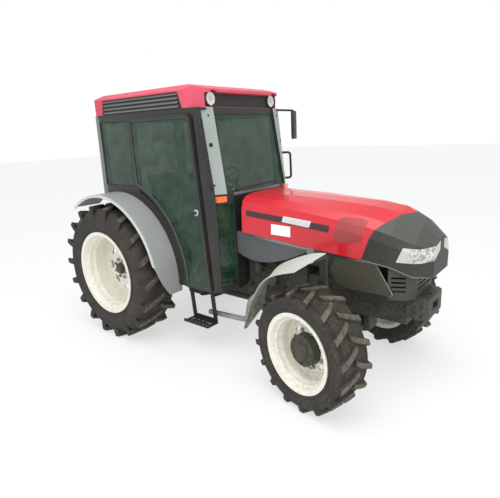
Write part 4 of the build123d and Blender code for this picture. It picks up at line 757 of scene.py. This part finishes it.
# Wheels
def wheel_place(axle_x, half_track, axle_z, side, steer):
    """Takes a point about the left wheel's centre into the frame; the right wheel is its mirror image."""
    place = Matrix.Translation((axle_x, side * half_track, axle_z)) @ Matrix.Diagonal((1, side, 1, 1))
    pin = Vector((axle_x, side * kingpin_y, 0))
    swing = Matrix.Translation(pin) @ Matrix.Rotation(-steer, 4, "Z") @ Matrix.Translation(-pin)
    return swing @ place


def round_wheel(across, out, angle):
    """A point about a wheel's centre: along its axle, out from it, and round it."""
    return Vector((out * math.cos(angle), across, out * math.sin(angle)))


def lug(bm, row, start, tyre):
    """One bar of the tread: it leaves the middle, leans back to the shoulder and runs down the side."""
    tip = tyre["tip"] - 0.001
    skew = tyre["skew"]
    half = tyre["half"]
    reach = tyre["half_tread"] + 0.012
    width = tyre["lug_width"]
    stations = []
    for k in range(6):
        share = k / 5
        stations.append((-0.012 + reach * share, skew * (1 - 2 * share ** 0.8), tip - 0.004 * share ** 3,
                         tyre["crown"] - 0.01, width * (0.46 + 0.08 * share)))
    drop = tyre["tip"] - tyre["widest"]
    for across, fall in ((half - 0.006, 0.16), (half - 0.002, 0.42), (half - 0.001, 0.78)):
        stations.append((across, -skew * (1 + fall * 0.2), tip - drop * fall,
                         tyre["widest"] - 0.008, width * (0.54 - 0.12 * fall)))
    rings = []
    for across, arc, top, foot, wide in stations:
        ring = []
        for offset, out in ((-wide - 0.007, foot), (-wide, top - 0.006), (-wide + 0.005, top),
                            (wide - 0.005, top), (wide, top - 0.006), (wide + 0.007, foot)):
            angle = start + (arc + offset) / tyre["tip"]
            ring.append(bm.verts.new(round_wheel(row * across, out, angle)))
        rings.append(ring)
    loft(bm, rings)


def made_on_wheel(name, bm, place, *finish):
    """Moves a bmesh from about its wheel's centre into place and makes a piece of it."""
    bmesh.ops.transform(bm, matrix=place, verts=bm.verts)
    return made(name, bm, *finish)


def build_tyre(name, body, place, tyre):
    """A tyre with round shoulders, raised rings on its sides and curved, bevelled lugs."""
    bm = bmesh.new()
    bead = tyre["bead"]
    widest = tyre["widest"]
    crown = tyre["crown"]
    half = tyre["half"]
    bead_half = tyre["bead_half"]
    lean = (half - bead_half) / (widest - bead)
    side = [
        (bead_half, bead + 0.0005), (bead_half + lean * 0.023, bead + 0.023),
        (bead_half + lean * 0.03, bead + 0.027), (bead_half + lean * 0.034 + 0.005, bead + 0.031),
        (bead_half + lean * 0.045 + 0.005, bead + 0.039), (bead_half + lean * 0.05 - 0.001, bead + 0.043),
        (half - 0.008, widest - 0.04), (half - 0.0035, widest - 0.018), (half - 0.006, widest - 0.014),
        (half - 0.0015, widest - 0.004), (half - 0.0015, widest + 0.003), (half - 0.01, widest + 0.02),
        (half - 0.022, (widest + crown) / 2 + 0.006), (half - 0.038, crown - 0.011),
        (half - 0.052, crown - 0.003), (half * 0.66, crown + 0.001), (half * 0.3, crown + 0.003),
    ]
    levels = side + [(-across, out) for across, out in reversed(side)]
    count = 96
    rings = [[bm.verts.new(round_wheel(across, out, math.tau * k / count)) for across, out in levels]
             for k in range(count)]
    for near, far in zip(rings, rings[1:] + rings[:1]):
        for i in range(len(levels)):
            bm.faces.new((near[i - 1], near[i], far[i], far[i - 1]))
    for row in (-1, 1):
        for k in range(tyre["count"]):
            turn = -88.5 + 360 * (k + (row + 1) / 4) / tyre["count"]
            lug(bm, row, math.radians(turn), tyre)
    piece = made_on_wheel(name + "_tread", bm, place, tyre_rubber[name], body, 42)
    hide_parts(name)


def build_hub(name, place, wheel):
    """What is bolted on a rim: the nuts, the dark cap over the axle's end, the bands and the valve."""
    bm = bmesh.new()
    face = wheel["hub_face"]
    out = Vector((0, 1, 0))
    for k in range(wheel["nuts"]):
        angle = math.tau * (k + 0.5) / wheel["nuts"]
        bolt(bm, round_wheel(wheel["nut_face"], wheel["nut_ring"], angle), out, wheel["nut_size"])
    made_on_wheel(name + "_nuts", bm, place, metal_steel, name, 30)
    bm = bmesh.new()
    turned(bm, (0, face - 0.001, 0), out, wheel["cap"], 40)
    for k in range(wheel["cap_bolts"]):
        angle = math.tau * k / wheel["cap_bolts"]
        bolt(bm, round_wheel(face + wheel["cap_bolt_face"], wheel["cap_bolt_ring"], angle), out, 0.014)
    made_on_wheel(name + "_cap", bm, place, cast_dark, name, 30)
    bm = bmesh.new()
    for profile in wheel["bands"]:
        turned(bm, (0, 0, 0), out, profile, 96, hollow=True)
    made_on_wheel(name + "_rim_bands", bm, place, band_paint, name, 30)
    bm = bmesh.new()
    stem = round_wheel(wheel["valve_across"], wheel["valve_ring"], valve_angle)
    way = round_wheel(1, -0.35, valve_angle)
    turned(bm, stem, way, [(0, 0.007), (0.014, 0.006), (0.015, 0.0042), (0.034, 0.0042), (0.036, 0.003)], 12)
    made_on_wheel(name + "_valve", bm, place, metal_black, name, 30)


# Sizes of tyres and hubs, in metres from the wheel's centre
valve_angle = 0.9
rear_tyre = dict(tip=0.616, half=0.183, bead=0.356, bead_half=0.158, widest=0.506, crown=0.578,
                 half_tread=0.176, lug_width=0.046, skew=0.052, count=18)
front_tyre = dict(tip=0.41, half=0.143, bead=0.254, bead_half=0.118, widest=0.352, crown=0.38,
                  half_tread=0.136, lug_width=0.038, skew=0.038, count=16)
rear_hub = dict(hub_face=-0.011, nuts=8, nut_ring=0.086, nut_face=-0.011, nut_size=0.026,
                cap=[(0, 0.056), (0.006, 0.056), (0.01, 0.05), (0.03, 0.046), (0.036, 0.04), (0.038, 0.012)],
                cap_bolts=0, cap_bolt_ring=0, cap_bolt_face=0,
                bands=[[(0.098, 0.334), (0.101, 0.319), (0.116, 0.321), (0.124, 0.34)],
                       [(-0.052, 0.243), (-0.036, 0.238), (-0.036, 0.229), (-0.05, 0.224)],
                       [(0.05, 0.316), (0.052, 0.306), (0.064, 0.306), (0.068, 0.318)]],
                valve_across=-0.06, valve_ring=0.312)
front_hub = dict(hub_face=0.067, nuts=8, nut_ring=0.128, nut_face=0.012, nut_size=0.02,
                 cap=[(0, 0.106), (0.008, 0.106), (0.012, 0.1), (0.014, 0.062), (0.024, 0.058), (0.028, 0.05),
                      (0.029, 0.014)],
                 cap_bolts=8, cap_bolt_ring=0.083, cap_bolt_face=0.012,
                 bands=[[(0.08, 0.232), (0.082, 0.22), (0.093, 0.222), (0.1, 0.238)],
                        [(-0.008, 0.186), (0.003, 0.181), (0.003, 0.174), (-0.006, 0.169)]],
                 valve_across=-0.03, valve_ring=0.212)
for side, word in both_sides:
    rear_place = wheel_place(rear_axle_x, rear_half_track, rear_axle_z, side, 0)
    front_place = wheel_place(front_axle_x, front_half_track, front_axle_z, side, steer_angle)
    build_tyre(f"rear_tyre_{word}", f"rear_wheel_{word}", rear_place, rear_tyre)
    build_tyre(f"front_tyre_{word}", f"front_wheel_{word}", front_place, front_tyre)
    build_hub(f"rear_wheel_{word}", rear_place, rear_hub)
    build_hub(f"front_wheel_{word}", front_place, front_hub)

# Hood: a band, a stripe and a mesh on each side, and a blank plate on the right
hood_surface = surface_of("hood", "hood_grilles")
hood_patches = [
    ("hood_band", decal_dark, 0.0008, 0, both_sides,
     [(0.452, 1.226), (1.17, 1.17), (1.165, 1.122), (0.452, 1.182)]),
    ("hood_stripe", decal_silver, 0.0014, 0, both_sides,
     [(0.8, 1.206), (1.03, 1.187), (1.012, 1.142), (0.782, 1.162)]),
    ("hood_plate", plate_white, 0.0014, 0, both_sides[1:],
     [(0.688, 1.139), (0.856, 1.133), (0.853, 1.056), (0.684, 1.06)]),
    ("hood_mesh", mesh_red, 0.0014, 0.22, both_sides,
     [(1.232, 1.232), (1.44, 1.222), (1.375, 1.07), (1.196, 1.062)]),
]
for name, finish, thick, round_by, its_sides, corners in hood_patches:
    for side, word in its_sides:
        bm = bmesh.new()
        patch(bm, hood_surface, corners, side, thick, round_by)
        made(f"{name}_{word}", bm, finish, "hood")


# Cab: rubber seals round the glass
def pane_outlines(node):
    """The outline of each pane in a glass node, on its outer face."""
    bm = bmesh.new()
    bm.from_mesh(nodes[node].data)
    bmesh.ops.remove_doubles(bm, verts=bm.verts, dist=1e-5)
    bmesh.ops.dissolve_limit(bm, angle_limit=math.radians(1.5), verts=bm.verts, edges=bm.edges)
    outlines = []
    left = set(bm.verts)
    while left:
        island = set()
        queue = [left.pop()]
        while queue:
            vert = queue.pop()
            island.add(vert)
            for edge in vert.link_edges:
                far = edge.other_vert(vert)
                if far in left:
                    left.discard(far)
                    queue.append(far)
        faces = {face for vert in island for face in vert.link_faces}
        broad = sorted(faces, key=lambda face: -face.calc_area())[:2]
        outer = max(broad, key=lambda face: (face.calc_center_median() - cab_middle).length)
        outlines.append([vert.co.copy() for vert in outer.verts])
    bm.free()
    return sorted(outlines, key=lambda loop: tuple(round(v, 3) for v in sum(loop, Vector()) / len(loop)))


glass_bodies = {"windows": "chassis", "door_glass_left": "door_left", "door_glass_right": "door_right"}
for node, body in glass_bodies.items():
    for number, outline in enumerate(pane_outlines(node)):
        pipe(f"{node}_seal_{number}", outline, 0.005, seal_rubber, body, closed=True, smooth=False)

# Door latches and handles
for side, word in both_sides:
    out = Vector((0, side, 0))
    latch = Vector((0.122, side * 0.5208, 1.212))
    bm = bmesh.new()
    turned(bm, latch, out, [(0, 0.025), (0.008, 0.025), (0.011, 0.021), (0.011, 0.015), (0.006, 0.013)], 28)
    turned(bm, latch - out * 0.0062, -out, [(0, 0.02), (0.01, 0.02), (0.012, 0.016)], 24)
    made(f"door_latch_{word}", bm, metal_pale, f"door_{word}")
    bm = bmesh.new()
    block(bm, latch + Vector((-0.04, min(0, side) * 0.034 + 0.004, -0.012)),
          latch + Vector((-0.012, max(0, side) * 0.034, 0.012)), 0.004)
    rod(bm, latch + out * 0.004, latch + out * 0.026, 0.0105)
    made(f"door_handle_{word}", bm, plastic_dark, f"door_{word}")

# Door glass: a pale bead round the seal, a painted highlight along the seal's edge
for side, word in both_sides:
    for outline in pane_outlines(f"door_glass_{word}"):
        bead = [point + Vector((0, side * 0.0045, 0)) for point in outline]
        pipe(f"door_bead_{word}", bead, 0.0022, seal_highlight_grey, f"door_{word}", closed=True, smooth=False)

# Corner panels: three dark plugs in each
corner_faces = surface_of("corner_panels")
bm = bmesh.new()
for side in (1, -1):
    for height, size in ((1.718, 0.016), (1.42, 0.008), (1.93, 0.008)):
        spot, out = seated(corner_faces, (0.5, side * 0.627, height), (-0.24, -side * 0.18, 0))
        turned(bm, spot, out, [(-0.001, size), (0.002, size), (0.003, size * 0.8)], 24)
made("panel_plugs", bm, seal_rubber)

# Wiper: parked along the screen's foot, its blade on the glass
screen = surface_of("windows")
pivot, screen_out = seated(screen, (1.5, -0.24, 1.368), (-1, 0, 0))
blade_low, _ = seated(screen, (1.5, -0.12, 1.372), (-1, 0, 0))
blade_high, _ = seated(screen, (1.5, 0.27, 1.38), (-1, 0, 0))
bm = bmesh.new()
turned(bm, pivot, screen_out, [(0, 0.014), (0.01, 0.014), (0.016, 0.01), (0.018, 0.005)], 24)
middle = blade_low.lerp(blade_high, 0.5)
rod(bm, pivot + screen_out * 0.011, middle + screen_out * 0.016, 0.004, 10)
rod(bm, blade_low + screen_out * 0.0065, blade_high + screen_out * 0.0065, 0.0055, 10)
rod(bm, middle + screen_out * 0.006, middle + screen_out * 0.02, 0.005, 10)
made("wiper", bm, plastic_dark)

# Work lamps: a dark ring and a bulb's reflector on each
bm = bmesh.new()
bulbs = bmesh.new()
for side in (1, -1):
    lamp = Vector((work_lamp[0], side * work_lamp[1], work_lamp[2]))
    turned(bm, lamp - Vector((0.004, 0, 0)), (1, 0, 0),
           [(0, 0.05), (0, 0.06), (0.01, 0.062), (0.014, 0.058), (0.014, 0.05), (0.006, 0.0485)],
           40, hollow=True)
    turned(bulbs, lamp, (1, 0, 0), [(-0.001, 0.02), (0.003, 0.019), (0.006, 0.012), (0.007, 0.004)], 24)
made("lamp_rings", bm, plastic_dark)
made("lamp_bulbs", bulbs, metal_pale)

# Mirror: glass on the face that looks back
mirror_faces = surface_of("mirrors")
bm = bmesh.new()
spot, back = seated(mirror_faces, (-0.4, 0.695, 1.848), (1, 0, 0))
mirror_turn = Matrix((Vector((0, 0, 1)).cross(back).normalized(), back, Vector((0, 0, 1)))).transposed()
block(bm, spot + Vector((-0.064, -0.002, -0.114)), spot + Vector((0.064, 0.002, 0.114)), 0.0012, mirror_turn)
made("mirror_glass", bm, mirror_silver)


# Seat: two pads in place of the plain solid, blown up as cloth, with sewn channels
def pad(name, low, high, channels):
    """A seat pad; channels are (axis, place) lines that are sewn down on its faces."""
    bm = bmesh.new()
    block(bm, low, high, 0.03)
    piece = made(name, bm, seat_weave, sharp=180)
    rounder = piece.modifiers.new("rounder", "REMESH")
    rounder.mode = "VOXEL"
    rounder.voxel_size = remesh_size
    mesh = evaluated_mesh(piece)
    piece.modifiers.clear()
    piece.data = mesh
    start = [vert.co.copy() for vert in mesh.vertices]
    cloth = piece.modifiers.new("cloth", "CLOTH")
    cloth.settings.use_pressure = True
    cloth.settings.uniform_pressure_force = pad_pressure
    cloth.settings.effector_weights.gravity = 0
    for moment in range(1, cloth_frames + 1):
        bpy.context.scene.frame_set(moment)
    blown = piece.evaluated_get(bpy.context.evaluated_depsgraph_get()).data
    places = [vert.co.copy() for vert in blown.vertices]
    piece.modifiers.clear()
    for vert, old, new in zip(mesh.vertices, start, places):
        move = new - old
        if move.length > pad_swell:
            move = move.normalized() * pad_swell
        vert.co = old + move
    bpy.context.scene.frame_set(1)
    middle = (Vector(low) + Vector(high)) / 2
    thin = min(range(3), key=lambda i: high[i] - low[i])
    for vert in mesh.vertices:
        for axis, place in channels:
            near = abs(vert.co[axis] - place)
            inward = middle[thin] - vert.co[thin]
            dent = channel_depth * math.exp(-(near / channel_width) ** 2)
            vert.co[thin] += math.copysign(dent, inward)
    mesh.polygons.foreach_set("use_smooth", [True] * len(mesh.polygons))
    smooth = piece.modifiers.new("smooth", "SUBSURF")
    smooth.levels = 1
    smooth.render_levels = 1
    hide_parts("seat")


# Sizes of the pads' mesh, swell and sewn channels
remesh_size = 0.008
pad_pressure = 4.0
cloth_frames = 20
pad_swell = 0.02
channel_depth = 0.009
channel_width = 0.007
seat_low, seat_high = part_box("seat")
pad("seat_cushion",
    (seat_low.x + 0.1, -0.205, seat_low.z + 0.012), (seat_high.x - 0.02, 0.205, seat_low.z + 0.1),
    ((1, -0.12), (1, 0.12), (0, seat_high.x - 0.12)))
pad("seat_backrest",
    (seat_low.x + 0.02, -0.2, seat_low.z + 0.06), (seat_low.x + 0.1, 0.2, seat_high.z - 0.02),
    ((1, -0.12), (1, 0.12), (2, seat_low.z + 0.16), (2, seat_high.z - 0.13)))

# Dials with eleven marks each
dash = surface_of("dashboard")
bm = bmesh.new()
dials = bmesh.new()
for across, size in ((-0.075, 0.028), (0, 0.038), (0.075, 0.028)):
    spot, back = seated(dash, (-0.3, across, 1.27), (1, 0, 0))
    turned(bm, spot, back, [(0, size), (0.006, size), (0.008, size - 0.004), (0.004, size - 0.005)], 32)
    turned(dials, spot, back, [(0.001, size - 0.006), (0.0045, size - 0.006)], 32)
    for k in range(11):
        angle = math.radians(-30 + 24 * k)
        sideways = Vector((0, 1, 0))
        upward = back.cross(sideways)
        if upward.z < 0:
            upward = -upward
        ray = sideways * math.cos(angle) + upward * math.sin(angle)
        middle = spot + back * 0.005
        rod(dials, middle + ray * (size - 0.012), middle + ray * (size - 0.007), 0.0007, 6)
made("dial_bezels", bm, plastic_dark)
made("dial_faces", dials, metal_pale)

# Levers and pedals
houses = surface_of("wheel_houses", "cab_floor", "cab_sides")
bm = bmesh.new()
knobs = bmesh.new()
for x, y, lean in ((-0.16, -0.34, 0.05), (-0.23, -0.34, 0.02), (-0.3, -0.34, -0.01), (-0.2, 0.34, 0.03)):
    foot, _ = seated(houses, (x, y, 1.3), (0, 0, -1))
    head = foot + Vector((lean, 0, 0.15))
    turned(bm, foot, (0, 0, 1), [(-0.002, 0.03), (0.006, 0.03), (0.012, 0.018), (0.024, 0.012)], 20)
    rod(bm, foot, head, 0.005, 10)
    turned(knobs, head - Vector((0, 0, 0.004)), head - foot,
           [(0, 0.008), (0.006, 0.014), (0.022, 0.017), (0.034, 0.015), (0.042, 0.007)], 20)
made("levers", bm, metal_pale)
made("lever_knobs", knobs, plastic_dark)

bm = bmesh.new()
for y in (-0.26, -0.18, 0.2):
    foot, _ = seated(houses, (0.16, y, 0.9), (0, 0, -1))
    top = foot + Vector((-0.06, 0, 0.17))
    rod(bm, foot - Vector((0, 0, 0.002)), top, 0.008, 12)
    tilt = Matrix.Rotation(math.radians(35), 3, "Y")
    block(bm, top + Vector((-0.045, -0.034, -0.006)), top + Vector((0.045, 0.034, 0.006)), 0.004, tilt)
made("pedals", bm, metal_black)


# Bolts that hold the castings together, seated on what they hold
def bolt_set(name, node_names, rows, finish=cast_dark, body="chassis"):
    """Bolts on nodes of one body; each row is a start point, the way to the surface and a size."""
    surface = surface_of(*node_names)
    bm = bmesh.new()
    for start, way, size in rows:
        if surface.ray_cast(Vector(start), Vector(way).normalized())[0] is None:
            continue
        spot, out = seated(surface, start, way)
        bolt(bm, spot, out, size)
    made(name, bm, finish, body, 30)


def side_rows(places, heights, reach, size):
    """Rows for bolts on both sides of a casting, each met from this far out."""
    return [((x, side * reach, z), (0, -side, 0), size) for side in (1, -1) for x in places for z in heights]


bolt_set("housing_bolts", ["transmission"],
         side_rows((-0.98, -0.86, -0.74, -0.52, -0.34, -0.16, 0.02, 0.2), (0.5, 0.72), 0.9, 0.018))
bolt_set("engine_bolts", ["engine"],
         side_rows((0.38, 0.5, 0.62, 0.74, 0.86), (0.46, 0.56), 0.5, 0.016))
bolt_set("support_bolts", ["front_support"],
         side_rows((0.98, 1.08, 1.36, 1.46, 1.72, 1.78), (0.6, 0.68), 0.5, 0.022))
step_rows = [((x, side * 0.46, 0.6), (0, 0, -1), 0.012) for side in (1, -1) for x in (-0.1, 0.1)]
bolt_set("step_bolts", ["steps"], step_rows, metal_steel)
hitch_rows = [((-1.6, y, z), (1, 0, 0), 0.018) for y in (-0.09, 0.09) for z in (0.5, 0.6, 0.84)]
bolt_set("rear_bolts", ["hitch_frame", "transmission"], hitch_rows)
for side, word in both_sides:
    kingpin = Vector((front_axle_x, side * kingpin_y, 1.2))
    cap_rows = [(kingpin + Vector((math.cos(angle), math.sin(angle), 0)) * 0.03, (0, 0, -1), 0.012)
                for angle in (0.8, 2.4, 3.9, 5.5)]
    bolt_set(f"knuckle_bolts_{word}", [f"knuckle_{word}"], cap_rows, body=f"knuckle_{word}")

# A pale edge along the nose's lower lip, and raised borders on the panels beside the radiator
lip = [(1.4075, 0.291, 0.961), (1.5875, 0.2745, 0.936), (1.7275, 0.239, 0.883), (1.815, 0.155, 0.873)]
lip = [(x, -y, z) for x, y, z in lip] + lip[::-1]
pipe("nose_lip", lip, 0.005, lip_plastic, "hood", smooth=False)
for outline in pane_outlines("side_panels"):
    if sum(point.x for point in outline) / len(outline) > panel_split_x:
        word = "left" if outline[0].y > 0 else "right"
        pipe(f"panel_border_{word}", outline, 0.0045, panel_trim, closed=True, smooth=False)

# Dark strips under the hood's edge, between the side panels and the nose
strip_stations = [
    (0.97, 0.279, 1.002, 0.14), (1.16, 0.277, 0.988, 0.13),
    (1.22, 0.275, 0.983, 0.066), (1.42, 0.266, 0.957, 0.066),
]
for side, word in both_sides:
    bm = bmesh.new()
    rings = []
    for x, outer, top, deep in strip_stations:
        rings.append([bm.verts.new((x, side * y, z)) for y, z in (
            (outer - 0.03, top - 0.012), (outer - 0.004, top - 0.012), (outer, top - 0.02),
            (outer, top - deep + 0.016), (outer - 0.008, top - deep), (outer - 0.03, top - deep))])
    loft(bm, rings)
    made(f"bay_strip_{word}", bm, plastic_nose)

# Engine fittings between the hood and the axle
block_side = surface_of("engine")
bm = bmesh.new()
fittings = bmesh.new()
for side in (-1, 1):
    out = Vector((0, side, 0))
    oil, _ = seated(block_side, (0.62, side * 0.5, 0.66), (0, -side, 0))
    turned(bm, oil - out * 0.002, out,
           [(0, 0.052), (0.012, 0.052), (0.016, 0.044), (0.085, 0.044), (0.096, 0.034)], 32)
    fuel, _ = seated(block_side, (0.47, side * 0.5, 0.8), (0, -side, 0))
    near, far = sorted((-side * 0.002, side * 0.034))
    block(fittings, fuel + Vector((-0.03, near, -0.012)), fuel + Vector((0.03, far, 0.012)))
    turned(bm, fuel + out * 0.05 + Vector((0, 0, 0.012)), (0, 0, -1),
           [(0, 0.03), (0.006, 0.036), (0.09, 0.036), (0.1, 0.03), (0.112, 0.012), (0.12, 0.008)], 28)
    charger, _ = seated(block_side, (0.62, side * 0.5, 0.85), (0, -side, 0))
    turned(fittings, charger + out * 0.05 - Vector((0.05, 0, 0)), (1, 0, 0),
           [(0, 0.04), (0.01, 0.056), (0.09, 0.056), (0.1, 0.044), (0.104, 0.03), (0.13, 0.03)], 32)
made("engine_filters", bm, cast_dark)
made("engine_fittings", fittings, metal_black)

# Four bent pipes on each side of the engine
engine_pipes = {
    "pipe_a": [(0.47, 0.21, 0.69), (0.5, 0.235, 0.63), (0.58, 0.24, 0.58), (0.66, 0.2, 0.57),
               (0.7, 0.158, 0.6)],
    "pipe_b": [(0.44, 0.158, 0.9), (0.44, 0.22, 0.88), (0.46, 0.24, 0.82), (0.52, 0.24, 0.76),
               (0.6, 0.2, 0.74), (0.66, 0.158, 0.75)],
    "pipe_c": [(0.84, 0.158, 0.86), (0.84, 0.23, 0.84), (0.8, 0.25, 0.78), (0.72, 0.25, 0.62),
               (0.7, 0.2, 0.52), (0.72, 0.158, 0.48)],
    "pipe_d": [(0.36, 0.158, 0.58), (0.37, 0.23, 0.57), (0.5, 0.25, 0.52), (0.7, 0.23, 0.5),
               (0.86, 0.158, 0.52)],
}
for name, points in engine_pipes.items():
    for side, word in both_sides:
        run = [(x, side * y, z) for x, y, z in points]
        pipe(f"{name}_{word}", run, 0.009, seal_rubber)
